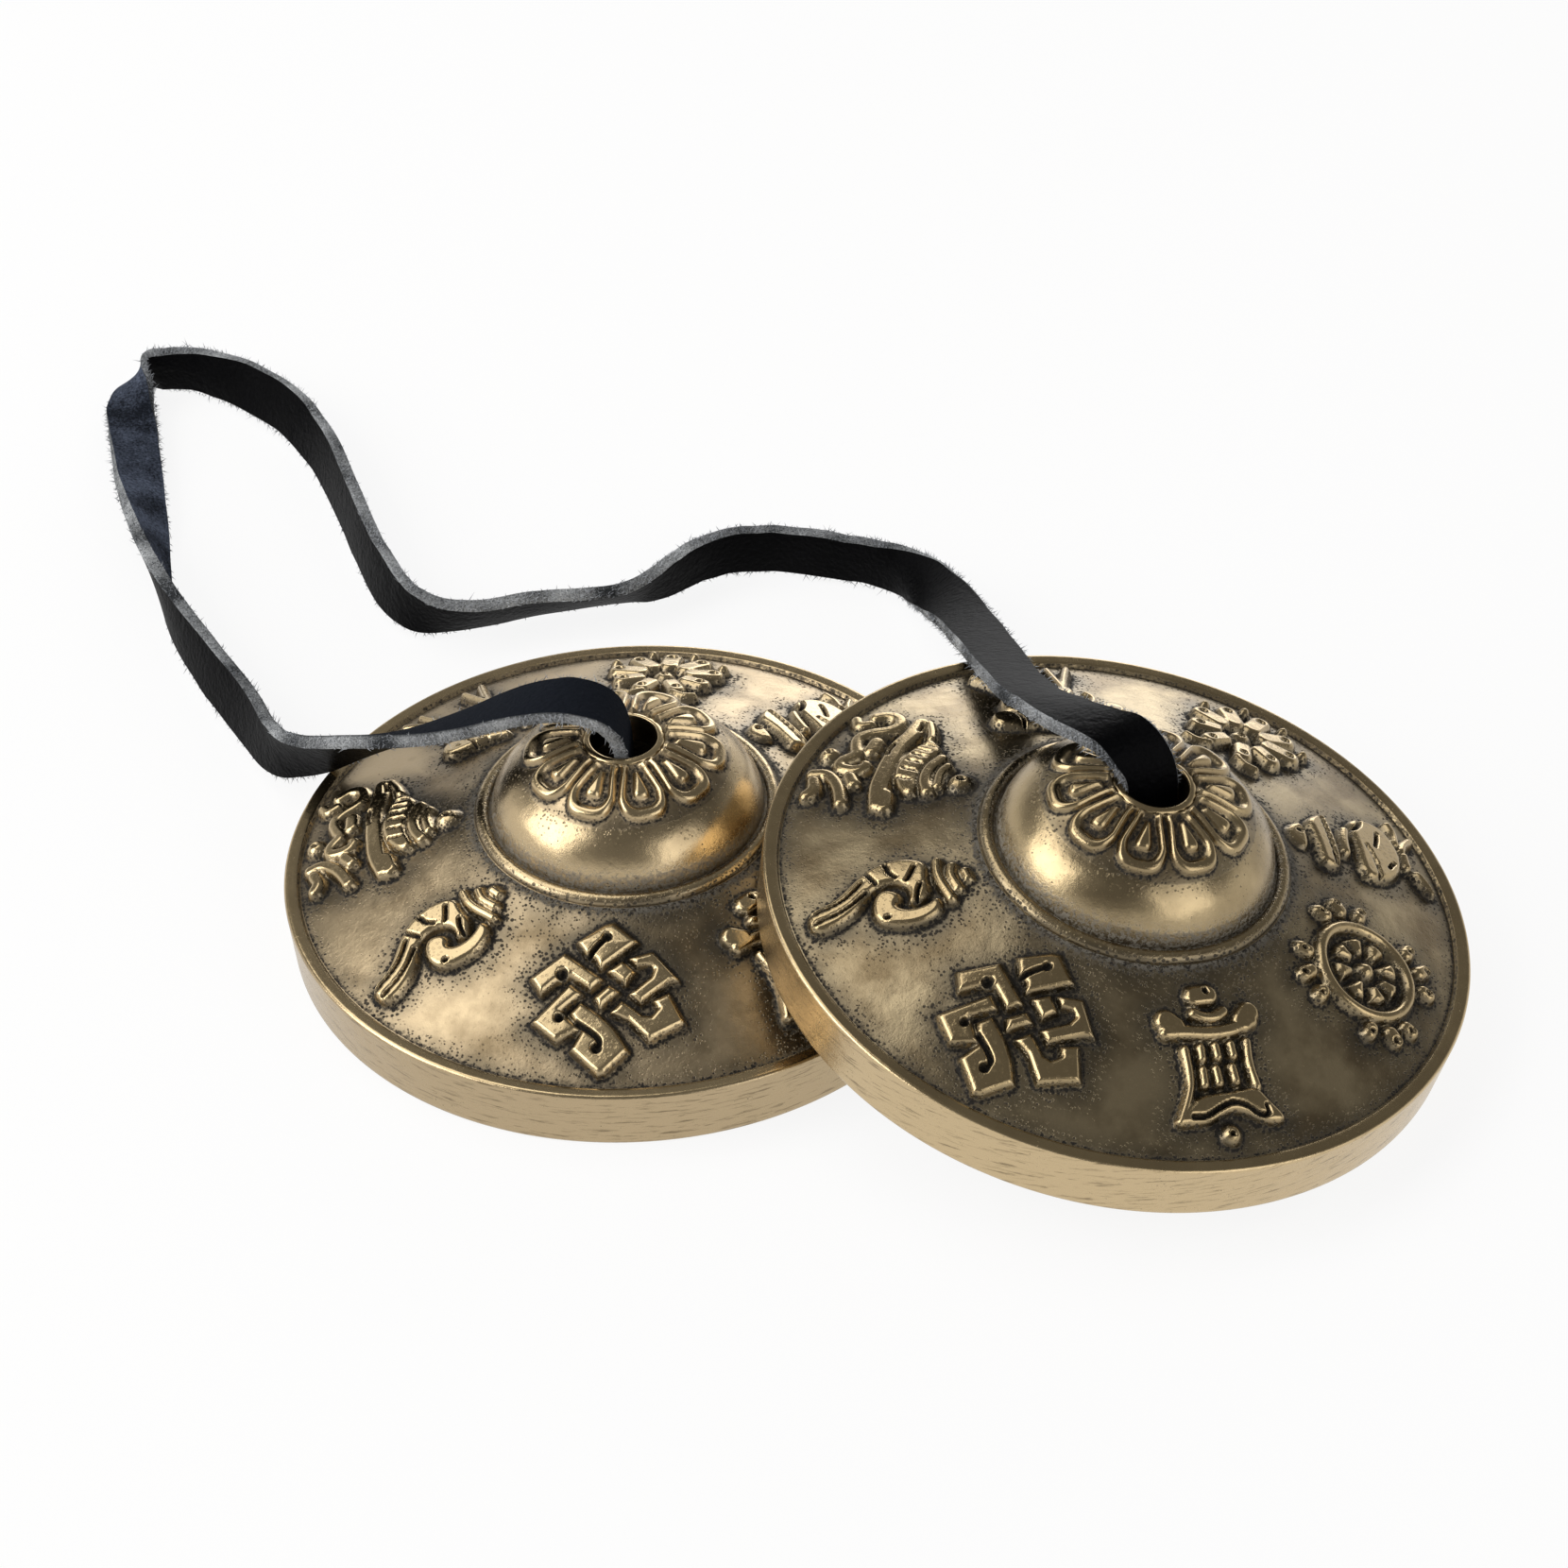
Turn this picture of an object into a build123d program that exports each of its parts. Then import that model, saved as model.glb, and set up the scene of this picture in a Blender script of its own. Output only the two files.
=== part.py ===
"""Tingsha: a pair of cast bronze hand cymbals tied together by one leather strap, lying on a table."""
import math
import os

from build123d import *

# Casting of one cymbal: radii from its own axis and heights from its flat foot, in millimetres
RIM_RADIUS = 32.5
RIM_HEIGHT = 6.1
SIDE_TAPER = 0.4
EDGE_BREAK = 0.5
SHOULDER = 0.35
FOOT_WIDTH = 4.4
FOOT_DRAFT = 0.9
BAND_WIDTH = 1.3
BAND_STEP = 0.35
FIELD_RISE = 6.6
WEB_THICKNESS = 3.3
BEAD_RADIUS = 14.2
BEAD_WIDTH = 1.3
BEAD_HEIGHT = 0.6
DOME_RADIUS = 12.6
DOME_HEIGHT = 8.0
DOME_WALL = 2.6
HOLE_RADIUS = 3.1
COLLAR_WIDTH = 0.7
COLLAR_HEIGHT = 0.4

# Lotus rosette cast round the hole: half of one petal's outline, as distance from the axis and half width
PETAL_COUNT = 10
PETAL_HALF = [(4.4, 0.9), (7.0, 2.15), (8.4, 2.0), (9.1, 1.1), (9.4, 0.3)]
PETAL_HEIGHT = 0.5

# The eight auspicious symbols round the field, each drawn in its own plane with its top towards the dome:
# the angle from the first one, then outlines of flat pads, bars as a width with the points they run through,
# and round beads as a centre with a radius
SYMBOL_RADIUS = 22.7
SYMBOL_HEIGHT = 0.6
SYMBOL_INNER = 16.9
SYMBOL_OUTER = 30.4
BAR_CAP = 0.5
BEAD_SIDES = 8
ENDLESS_KNOT = {
    "angle": 0,
    "pads": [
        [(-2.9, 4.9), (0.0, 6.9), (2.6, 5.0), (-0.6, 2.3), (-1.6, 3.3)],
        [(-6.9, 1.6), (-3.9, 3.9), (-0.3, 1.4), (-1.3, 0.4), (-4.0, 1.6), (-5.8, 0.1)],
        [(-3.2, 1.0), (-6.4, -2.5), (-4.0, -4.4), (-1.9, -3.2), (-3.9, -1.5), (-2.0, 0.1)],
        [(-2.1, -0.7), (1.2, -3.2), (2.5, -5.0), (0.2, -7.2), (-2.7, -5.1), (-1.8, -3.4), (-3.0, -1.7)],
        [(1.5, -0.5), (0.6, -1.6), (4.2, -4.0), (7.2, -2.0), (5.6, 0.5), (4.3, -0.3), (3.6, -1.6)],
        [(1.9, 3.5), (3.8, 4.2), (6.4, 1.9), (3.2, -0.6), (2.1, 0.1), (3.9, 1.9)],
        [(0.1, 2.2), (1.3, 3.2), (2.5, 2.2), (1.7, 1.0)],
        [(-1.0, -0.3), (0.2, 0.9), (1.2, 0.4), (-0.4, -1.2)],
    ],
}
VICTORY_BANNER = {
    "angle": 45,
    "pads": [[(-2.9, -2.7), (3.1, -2.6), (4.9, -5.4), (2.9, -5.8), (0.3, -4.5), (-2.2, -5.4), (-5.1, -4.9)]],
    "bars": [
        (1.9, [(-4.0, 3.1), (-2.2, 2.6), (2.4, 2.6), (4.2, 3.3)]),
        (1.0, [(-1.1, 4.0), (1.6, 4.0)]),
        (0.9, [(-2.8, 1.3), (-2.9, -2.7)]),
        (0.9, [(3.0, 1.3), (2.9, -2.6)]),
        (0.8, [(-1.4, 1.3), (-1.6, -2.0)]),
        (0.8, [(0.0, 1.3), (-0.3, -2.0)]),
        (0.8, [(1.5, 1.3), (1.2, -2.0)]),
    ],
    "beads": [((0.0, 5.5), 1.3), ((-0.4, -6.4), 0.9)],
}
WHEEL_ANGLE = 95
WHEEL_RADIUS = 4.8
WHEEL_FELLOE = 1.2
WHEEL_HUB = 1.2
WHEEL_SPOKES = 8
SPOKE_WIDTH = 0.9
LEAF_COUNT = 4
LEAF_REACH = 6.7
LEAF_WIDTH = 1.8
VASE = {
    "angle": 135,
    "pads": [
        [(-3.1, 5.5), (2.6, 5.0), (4.1, 2.3), (-3.7, 3.2)],
        [(-4.0, 0.2), (-3.0, 1.0), (3.9, -0.5), (4.3, -2.2), (3.4, -4.1), (1.0, -4.7), (-2.6, -3.5)],
        [(-4.6, -6.8), (-3.6, -5.9), (-1.4, -5.2), (-1.6, -6.2)],
    ],
    "bars": [(1.1, [(-0.8, 1.9), (2.0, 0.9)]), (1.0, [(1.0, -5.2), (2.4, -6.6)])],
}
LOTUS_ANGLE = 177
LOTUS_PETALS = 9
LOTUS_PETAL_WIDTH = 2.0
LOTUS_PETAL_ROOT = 2.0
LOTUS_PETAL_TIP = 4.2
LOTUS_HEART = 1.3
GOLDEN_FISHES = {
    "angle": 225,
    "bars": [
        (2.5, [(5.3, 3.6), (3.6, 4.3), (1.4, 3.9), (-0.6, 2.0)]),
        (1.7, [(-0.6, 2.0), (-2.2, -0.6), (-4.4, -5.4)]),
        (2.5, [(-5.3, 3.6), (-3.6, 4.3), (-1.4, 3.9), (0.6, 2.0)]),
        (1.7, [(0.6, 2.0), (2.2, -0.6), (4.4, -5.4)]),
    ],
}
PARASOL = {
    "angle": 270,
    "pads": [[(-3.6, 1.0), (-2.0, 2.9), (1.5, 2.2), (4.5, 3.4), (4.6, 2.0), (2.6, 0.3), (-1.0, -0.1)]],
    "bars": [
        (1.0, [(-0.6, 3.5), (3.2, 4.1)]),
        (1.5, [(-6.2, -1.1), (-2.0, -1.3), (2.0, -0.8), (6.4, 0.7)]),
        (1.1, [(-6.0, -5.2), (-6.5, -3.2), (-4.4, -3.0), (-2.4, -5.4), (0.3, -4.3), (2.4, -5.1), (2.4, -3.1)]),
        (1.1, [(4.0, -6.4), (4.2, -4.6), (7.0, -2.7)]),
    ],
    "beads": [((1.5, 5.6), 1.0), ((0.7, -6.6), 0.9)],
}
CONCH = {
    "angle": 315,
    "pads": [
        [(-1.7, 4.1), (-3.6, 1.0), (-2.6, -2.7), (2.2, -1.9), (3.7, -0.8), (4.4, 1.4), (3.3, 4.1), (0.8, 3.6)],
    ],
    "bars": [
        (1.1, [(-1.4, 4.8), (2.6, 4.8)]),
        (0.9, [(-2.6, -1.8), (-1.3, -3.9), (-0.6, -6.6)]),
        (0.9, [(-1.0, -2.2), (0.0, -4.2), (0.5, -6.6)]),
        (0.9, [(0.5, -2.0), (1.5, -3.8), (1.6, -6.6)]),
    ],
    "beads": [((0.5, 5.8), 1.0)],
}

# The pair as it lies: one cymbal flat, the other leaning on its bead
SEAT_CLEARANCE = 0.5
LEFT_TURN = 284.0
RIGHT_TURN = 260.0

# Leather strap and its end knots
STRAP_WIDTH = 5.2
STRAP_THICKNESS = 1.7
STRAP_BEND = 0.45
KNOT_RADIUS = 4.8
KNOT_HEIGHT = 7.0
KNOT_SIDES = 5
KNOT_EASE = 1.2
KNOT_CLEARANCE = 0.6
TAIL_LENGTH = 5.5
TAIL_SPLAY = 24.0

# Levels and radii that follow from the sizes above
foot_radius = RIM_RADIUS - SIDE_TAPER - EDGE_BREAK
foot_inner = foot_radius - FOOT_WIDTH
field_radius = RIM_RADIUS - BAND_WIDTH - BAND_STEP / 2
field_edge = RIM_HEIGHT - BAND_STEP
bead_foot = field_edge + FIELD_RISE
dome_base = bead_foot + BEAD_HEIGHT / 2
collar_radius = HOLE_RADIUS + COLLAR_WIDTH
inner_radius = DOME_RADIUS - DOME_WALL
inner_height = DOME_HEIGHT - DOME_WALL


def field_height(radius):
    """Height of the sloping field that carries the symbols."""
    return bead_foot - FIELD_RISE * (radius - BEAD_RADIUS) / (field_radius - BEAD_RADIUS)


def dome_height(radius, base_radius, rise):
    """Height of an elliptical dome that stands on the bead's inner edge."""
    return dome_base + rise * math.sqrt(1 - (radius / base_radius) ** 2)


knot_top = dome_height(HOLE_RADIUS, inner_radius, inner_height) - KNOT_CLEARANCE

# The leaning cymbal touches the table with its foot and rests its far edge beside the other one's bead
lean = math.asin((bead_foot + SEAT_CLEARANCE) / (2 * foot_radius))
spacing = BEAD_RADIUS + SEAT_CLEARANCE + foot_radius * math.cos(lean)
reach = spacing + RIM_RADIUS * math.cos(lean) + (RIM_HEIGHT - SHOULDER) * math.sin(lean)
left_x = (RIM_RADIUS - reach) / 2
left_place = Pos(left_x, 0, 0)
right_place = Pos(left_x + spacing, 0, foot_radius * math.sin(lean)) * Rot(0, math.degrees(lean), 0)

# Route of the strap between the two holes: middle of the leather, then the way its marked edge points
ROUTE = [
    ((-24.2, -1.0, 24.6), (0.3, -0.93, 0.2)),
    ((-27.9, -2.3, 25.8), (0.28, -0.9, 0.3)),
    ((-33.1, -1.6, 23.2), (0.26, -0.84, 0.45)),
    ((-39.3, -0.5, 18.6), (0.23, -0.75, 0.6)),
    ((-45.8, 0.8, 14.8), (0.2, -0.66, 0.7)),
    ((-51.8, 1.9, 11.6), (0.18, -0.58, 0.78)),
    ((-57.8, 4.0, 7.4), (0.15, -0.4, 0.9)),
    ((-62.9, 7.2, 4.3), (0.2, 0.0, 0.98)),
    ((-68.3, 13.2, 3.4), (0.26, 0.22, 0.94)),
    ((-75.0, 19.2, 3.3), (0.26, 0.22, 0.94)),
    ((-81.3, 25.4, 3.3), (0.1, 0.08, 0.99)),
    ((-85.9, 31.2, 3.3), (-0.15, -0.15, 0.97)),
    ((-90.3, 38.5, 3.0), (-0.58, -0.3, 0.77)),
    ((-95.4, 47.3, 2.2), (-0.8, -0.42, 0.35)),
    ((-100.1, 56.1, 1.6), (-0.88, -0.46, 0.1)),
    ((-103.4, 62.3, 1.9), (-0.85, -0.35, -0.35)),
    ((-103.2, 65.9, 2.8), (-0.5, 0.0, -0.85)),
    ((-100.2, 66.8, 3.3), (-0.1, 0.1, -0.98)),
    ((-96.4, 67.2, 3.4), (0.0, -0.1, -1.0)),
    ((-90.5, 66.0, 3.3), (-0.1, -0.4, -0.9)),
    ((-84.1, 62.6, 3.3), (-0.25, -0.43, -0.87)),
    ((-77.9, 56.7, 3.3), (-0.22, -0.2, -0.94)),
    ((-72.4, 49.4, 3.4), (-0.19, -0.14, -0.97)),
    ((-67.3, 42.2, 3.4), (-0.19, -0.14, -0.97)),
    ((-62.9, 36.7, 3.4), (-0.22, -0.2, -0.95)),
    ((-59.0, 33.3, 3.4), (-0.1, -0.1, -0.98)),
    ((-55.3, 33.0, 3.3), (-0.1, 0.4, -0.9)),
    ((-51.4, 34.8, 3.1), (-0.2, 0.55, -0.8)),
    ((-47.6, 37.8, 3.0), (-0.2, 0.56, -0.8)),
    ((-43.1, 40.2, 2.8), (-0.2, 0.66, -0.72)),
    ((-38.9, 42.4, 2.8), (-0.2, 0.7, -0.68)),
    ((-36.1, 44.7, 3.0), (0.0, 0.45, -0.87)),
    ((-34.1, 47.9, 3.4), (0.0, 0.2, -0.97)),
    ((-31.3, 51.2, 3.4), (0.0, 0.0, -1.0)),
    ((-27.0, 53.1, 3.4), (0.0, 0.0, -1.0)),
    ((-21.3, 53.6, 3.4), (0.0, 0.0, -1.0)),
    ((-15.8, 53.5, 3.5), (-0.05, 0.0, -1.0)),
    ((-11.0, 51.6, 4.3), (-0.3, -0.1, -0.95)),
    ((-5.9, 45.0, 7.6), (-0.75, -0.4, -0.55)),
    ((-0.4, 35.1, 12.6), (-0.93, -0.36, -0.1)),
    ((5.6, 23.1, 18.8), (-0.95, -0.3, 0.0)),
    ((11.5, 11.2, 25.2), (-0.95, -0.3, 0.1)),
    ((16.3, 4.6, 29.2), (-0.9, -0.4, 0.0)),
    ((20.4, 1.0, 31.2), (-0.8, -0.6, 0.0)),
    ((24.6, -0.2, 31.0), (-0.75, -0.66, 0.0)),
]
LEFT_EDGE = (0.3, -0.95, 0.0)
RIGHT_EDGE = (-0.75, -0.66, 0.0)
EXIT_RISE = 3.7


def casting():
    """One plain cymbal: turned rim, sloping web, bead, hollow dome and hole, all in one revolve."""
    dome_mid = DOME_RADIUS * math.sin(math.pi / 4)
    inner_mid = inner_radius * math.sin(math.pi / 4)
    collar_foot = dome_height(collar_radius, DOME_RADIUS, DOME_HEIGHT)
    wall_top = foot_inner - FOOT_DRAFT
    with BuildSketch(Plane.XZ) as section:
        with BuildLine():
            Polyline(
                (inner_radius, dome_base),
                (inner_radius, field_height(inner_radius) - WEB_THICKNESS),
                (wall_top, field_height(wall_top) - WEB_THICKNESS),
                (foot_inner, 0),
                (foot_radius, 0),
                (foot_radius + EDGE_BREAK, EDGE_BREAK),
                (RIM_RADIUS, RIM_HEIGHT - SHOULDER),
                (RIM_RADIUS - SHOULDER, RIM_HEIGHT),
                (RIM_RADIUS - BAND_WIDTH, RIM_HEIGHT),
                (field_radius, field_edge),
                (BEAD_RADIUS, bead_foot),
            )
            ThreePointArc(
                (BEAD_RADIUS, bead_foot),
                (BEAD_RADIUS - BEAD_WIDTH / 2, bead_foot + BEAD_HEIGHT),
                (BEAD_RADIUS - BEAD_WIDTH, dome_base),
            )
            Line((BEAD_RADIUS - BEAD_WIDTH, dome_base), (DOME_RADIUS, dome_base))
            ThreePointArc(
                (DOME_RADIUS, dome_base),
                (dome_mid, dome_height(dome_mid, DOME_RADIUS, DOME_HEIGHT)),
                (collar_radius, collar_foot),
            )
            Polyline(
                (collar_radius, collar_foot),
                (collar_radius - COLLAR_WIDTH / 2, collar_foot + COLLAR_HEIGHT),
                (HOLE_RADIUS, collar_foot + COLLAR_HEIGHT),
                (HOLE_RADIUS, dome_height(HOLE_RADIUS, inner_radius, inner_height)),
            )
            ThreePointArc(
                (HOLE_RADIUS, dome_height(HOLE_RADIUS, inner_radius, inner_height)),
                (inner_mid, dome_height(inner_mid, inner_radius, inner_height)),
                (inner_radius, dome_base),
            )
        make_face()
    return revolve(section.sketch, Axis.Z)


def raised(blank, plan, height):
    """Relief that stands the given height above the casting wherever the plan covers it."""
    return extrude(plan, 2 * (dome_base + DOME_HEIGHT)) & (Pos(0, 0, height) * blank)


def pad(outline):
    """A flat pad facing up, whichever way round its outline is drawn."""
    face = Polygon(*outline, align=None)
    if face.face().normal_at().Z < 0:
        face = Polygon(*reversed(outline), align=None)
    return face


def petals():
    """Plan of the lotus rosette: one petal's outline, repeated round the hole."""
    step = 360 / PETAL_COUNT
    outline = PETAL_HALF + [(along, -across) for along, across in reversed(PETAL_HALF)]
    petal = pad(outline)
    return Sketch() + [Rot(0, 0, (index + 0.5) * step) * petal for index in range(PETAL_COUNT)]


def bars(width, points):
    """Flat bars of one width along a line of points, each a little longer than its run so that they join."""
    made = []
    for start, end in zip(points, points[1:]):
        run = Vector(*end) - Vector(*start)
        middle = (Vector(*start) + Vector(*end)) / 2
        heading = math.degrees(math.atan2(run.Y, run.X))
        made.append(Pos(middle.X, middle.Y) * Rot(0, 0, heading) * Rectangle(run.length + BAR_CAP * width, width))
    return made


def drawn(symbol):
    """Pieces of one symbol in its own plane: pads, bars and beads."""
    made = [pad(outline) for outline in symbol.get("pads", [])]
    for width, points in symbol.get("bars", []):
        made += bars(width, points)
    for centre, radius in symbol.get("beads", []):
        made.append(Pos(*centre) * RegularPolygon(radius, BEAD_SIDES))
    return made


def wheel():
    """The wheel: felloe, hub and spokes, with a leaf on each of its four sides."""
    sides = 2 * WHEEL_SPOKES
    made = [RegularPolygon(WHEEL_RADIUS, sides) - RegularPolygon(WHEEL_RADIUS - WHEEL_FELLOE, sides)]
    made.append(RegularPolygon(WHEEL_HUB, BEAD_SIDES))
    for index in range(WHEEL_SPOKES):
        spoke = Pos(WHEEL_RADIUS / 2, 0) * Rectangle(WHEEL_RADIUS - WHEEL_FELLOE, SPOKE_WIDTH)
        made.append(Rot(0, 0, index * 360 / WHEEL_SPOKES) * spoke)
    for index in range(LEAF_COUNT):
        leaf = Pos((WHEEL_RADIUS + LEAF_REACH) / 2 - WHEEL_FELLOE / 4, 0)
        leaf *= Rectangle(LEAF_REACH - WHEEL_RADIUS + WHEEL_FELLOE / 2, LEAF_WIDTH)
        made.append(Rot(0, 0, index * 360 / LEAF_COUNT) * leaf)
    return made


def lotus():
    """The lotus flower: petals fanned round its heart."""
    made = [RegularPolygon(LOTUS_HEART, BEAD_SIDES)]
    for index in range(LOTUS_PETALS):
        petal = Pos((LOTUS_PETAL_ROOT + LOTUS_PETAL_TIP) / 2, 0)
        petal *= Rectangle(LOTUS_PETAL_TIP - LOTUS_PETAL_ROOT + LOTUS_PETAL_WIDTH / 2, LOTUS_PETAL_WIDTH)
        made.append(Rot(0, 0, (index + 0.5) * 360 / LOTUS_PETALS) * petal)
    return made


def symbols():
    """Plan of all eight symbols round the field, kept clear of the bead and the rim."""
    pieces = {WHEEL_ANGLE: wheel(), LOTUS_ANGLE: lotus()}
    for symbol in (ENDLESS_KNOT, VICTORY_BANNER, VASE, GOLDEN_FISHES, PARASOL, CONCH):
        pieces[symbol["angle"]] = drawn(symbol)
    plan = Sketch()
    for angle, made in pieces.items():
        plan += [Rot(0, 0, angle) * Pos(SYMBOL_RADIUS, 0) * Rot(0, 0, 90) * piece for piece in made]
    return plan & (Circle(SYMBOL_OUTER) - Circle(SYMBOL_INNER))


def cymbal():
    """The finished casting, with the rosette and the symbols in relief."""
    blank = casting()
    relief = raised(blank, petals(), PETAL_HEIGHT)
    return blank + relief + raised(blank, symbols(), SYMBOL_HEIGHT)


def knot():
    """End knot inside the dome: a flat strap's overhand knot pulls up five-sided, with its cut end below it."""
    lump = Pos(0, 0, knot_top - KNOT_HEIGHT) * extrude(RegularPolygon(KNOT_RADIUS, KNOT_SIDES), KNOT_HEIGHT)
    lump = chamfer(lump.edges(), KNOT_EASE)
    tail = Box(STRAP_WIDTH, STRAP_THICKNESS, 2 * TAIL_LENGTH)
    return lump + Pos(0, 0, knot_top - KNOT_HEIGHT) * Rot(TAIL_SPLAY, 0, 0) * tail


def strap_stations():
    """Whole route with its ends in the two knots, and the direction of the marked edge at each point."""
    left_end = left_place.position + Vector(0, 0, knot_top)
    right_up = Vector(math.sin(lean), 0, math.cos(lean))
    right_end = right_place.position + right_up * knot_top
    route = [(left_end, LEFT_EDGE), (left_end + Vector(0, 0, EXIT_RISE), LEFT_EDGE)]
    route += [(Vector(*point), edge) for point, edge in ROUTE]
    route += [(right_end + right_up * EXIT_RISE, RIGHT_EDGE), (right_end, RIGHT_EDGE)]
    return route


def strap():
    """Flat leather strap: its section set square across the route and turned as the leather twists."""
    route = strap_stations()
    points = [point for point, edge in route]
    radii = []
    for before, corner, after in zip(points, points[1:], points[2:]):
        run_in, run_out = corner - before, after - corner
        half_turn = math.radians(run_in.get_angle(run_out) / 2)
        radii.append(STRAP_BEND * min(run_in.length, run_out.length) / math.tan(half_turn))
    path = FilletPolyline(*points, radius=radii)
    arcs = [edge for edge in path.edges() if edge.geom_type == GeomType.CIRCLE]
    stations = [(points[0], points[1] - points[0], route[0][1])]
    edges = [Vector(*edge) for point, edge in route]
    for arc, before, here, after in zip(arcs, edges, edges[1:], edges[2:]):
        stations.append((arc @ 0, arc % 0, before + here * 2))
        stations.append((arc @ 0.5, arc % 0.5, here))
        stations.append((arc @ 1, arc % 1, here * 2 + after))
    stations.append((points[-1], points[-1] - points[-2], route[-1][1]))
    section = Rectangle(STRAP_WIDTH, STRAP_THICKNESS)
    faces = []
    for point, heading, edge in stations:
        heading = heading.normalized()
        across = Vector(*edge)
        across -= heading * across.dot(heading)
        faces.append(Plane(point, x_dir=across, z_dir=heading) * section)
    leather = loft(faces, ruled=True)
    print("strap radii", [round(radius, 1) for radius in radii])
    print("strap length", round(path.length, 1), "of", round(sum((b - a).length for a, b in zip(points, points[1:])), 1))
    print("strap volume", round(leather.volume, 1), "section times length", round(section.area * path.length, 1))
    return leather


finished = cymbal()
parts = {
    "left_cymbal": left_place * Rot(0, 0, LEFT_TURN) * finished,
    "right_cymbal": right_place * Rot(0, 0, RIGHT_TURN) * finished,
    "strap": strap(),
    "left_knot": left_place * knot(),
    "right_knot": right_place * knot(),
}
print("lean", round(math.degrees(lean), 2), "spacing", round(spacing, 2), "left axis at", round(left_x, 2))
print("right foot centre", right_place.position, "knot top", round(knot_top, 2))
os.makedirs("parts", exist_ok=True)
for name, shape in parts.items():
    export_step(shape, f"parts/{name}.step")
    print(name, "volume", round(shape.volume, 1))
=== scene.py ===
# %% [markdown]
# Tingsha are two cast bronze hand cymbals on one leather strap. Here they lie on a pale table, one flat and one
# leaning on it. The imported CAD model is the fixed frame: it could be dressed by painting its own solids, but its
# mesh is too coarse for worn relief. So each piece is modelled anew in the same place and at the same size, in
# metres, and rides on the CAD body that it belongs to.

# %% Load the frame
import math

import bpy
import numpy as np
from mathutils import Euler, Matrix, Vector


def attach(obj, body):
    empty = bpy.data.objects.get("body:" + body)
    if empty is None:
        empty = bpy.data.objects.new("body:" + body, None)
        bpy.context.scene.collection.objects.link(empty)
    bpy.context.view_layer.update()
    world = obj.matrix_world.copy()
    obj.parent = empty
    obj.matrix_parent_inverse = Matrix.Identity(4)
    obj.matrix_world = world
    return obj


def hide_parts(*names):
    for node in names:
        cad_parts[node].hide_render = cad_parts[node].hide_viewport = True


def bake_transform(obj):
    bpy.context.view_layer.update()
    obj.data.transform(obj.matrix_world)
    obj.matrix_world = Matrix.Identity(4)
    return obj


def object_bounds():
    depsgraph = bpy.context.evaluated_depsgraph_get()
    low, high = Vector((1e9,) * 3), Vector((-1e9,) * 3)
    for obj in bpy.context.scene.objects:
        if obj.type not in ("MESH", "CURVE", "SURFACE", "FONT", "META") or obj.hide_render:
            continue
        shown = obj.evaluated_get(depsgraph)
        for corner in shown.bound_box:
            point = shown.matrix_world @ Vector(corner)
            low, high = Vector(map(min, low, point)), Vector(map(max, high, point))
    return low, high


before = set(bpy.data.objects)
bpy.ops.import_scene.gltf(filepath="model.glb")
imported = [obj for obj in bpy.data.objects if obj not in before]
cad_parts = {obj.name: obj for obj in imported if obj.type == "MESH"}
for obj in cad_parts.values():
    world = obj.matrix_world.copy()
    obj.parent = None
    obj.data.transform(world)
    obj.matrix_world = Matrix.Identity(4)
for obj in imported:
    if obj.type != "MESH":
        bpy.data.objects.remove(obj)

MM = 0.001
cad_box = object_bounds()
scene = bpy.context.scene
scene.view_settings.view_transform = "Standard"

# %% [markdown]
# The camera stands where the picture was taken from. It could be placed by eye, but two round castings give
# better: their edges are circles, and a camera fitted to the ellipses that they make is known closely. It is a
# long lens, about 40 degrees above the table. The frame is square and takes the whole sensor width, so the lens
# needs no shift.

# %% Camera
SENSOR_WIDTH, FOCAL_LENGTH = 36.0, 100.78
CAMERA_PLACE, CAMERA_TURN = (93.33, -289.95, 273.09), (50.322, 1.586, 17.895)
lens = bpy.data.cameras.new("camera")
lens.sensor_width, lens.lens = SENSOR_WIDTH, FOCAL_LENGTH
lens.clip_start = 10 * MM
camera = bpy.data.objects.new("camera", lens)
camera.location = Vector(CAMERA_PLACE) * MM
camera.rotation_euler = Euler([math.radians(angle) for angle in CAMERA_TURN])
scene.collection.objects.link(camera)
scene.camera = camera
print("camera", tuple(round(x, 3) for x in camera.location))

# %% [markdown]
# Two small helpers serve every material. Colours are written as they look on a screen, in sRGB hex, and the
# renderer wants them linear. One function adds a node, sets it up, links it and gives back the output that is
# wanted, so that each material below reads as a list of what the surface is made of.

# %% Material helpers
def linear(colour):
    """sRGB hex, such as #8a7550, as linear red, green, blue and alpha."""
    parts = [int(colour[start:start + 2], 16) / 255 for start in (1, 3, 5)]
    return [c / 12.92 if c <= 0.04045 else ((c + 0.055) / 1.055) ** 2.4 for c in parts] + [1.0]


def add(tree, kind, inputs=None, pick=0, **settings):
    """Adds one shader node and gives back one of its outputs; an input is a value or another node's output."""
    made = tree.nodes.new("ShaderNode" + kind)
    for name, value in settings.items():
        setattr(made, name, value)
    for socket, value in (inputs or {}).items():
        if isinstance(value, bpy.types.NodeSocket):
            tree.links.new(value, made.inputs[socket])
        else:
            made.inputs[socket].default_value = value
    return made.outputs[pick] if made.outputs else None


def new_material(name):
    """An empty node material and its tree."""
    material = bpy.data.materials.new(name)
    material.use_nodes = True
    material.node_tree.nodes.clear()
    return material, material.node_tree


def deselect():
    """Leaves edit mode and deselects everything, so that an operator acts on the new piece alone."""
    if bpy.context.object and bpy.context.object.mode != "OBJECT":
        bpy.ops.object.mode_set(mode="OBJECT")
    bpy.ops.object.select_all(action="DESELECT")


print("a mid brown in linear light:", [round(c, 3) for c in linear("#8a7550")])

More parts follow.
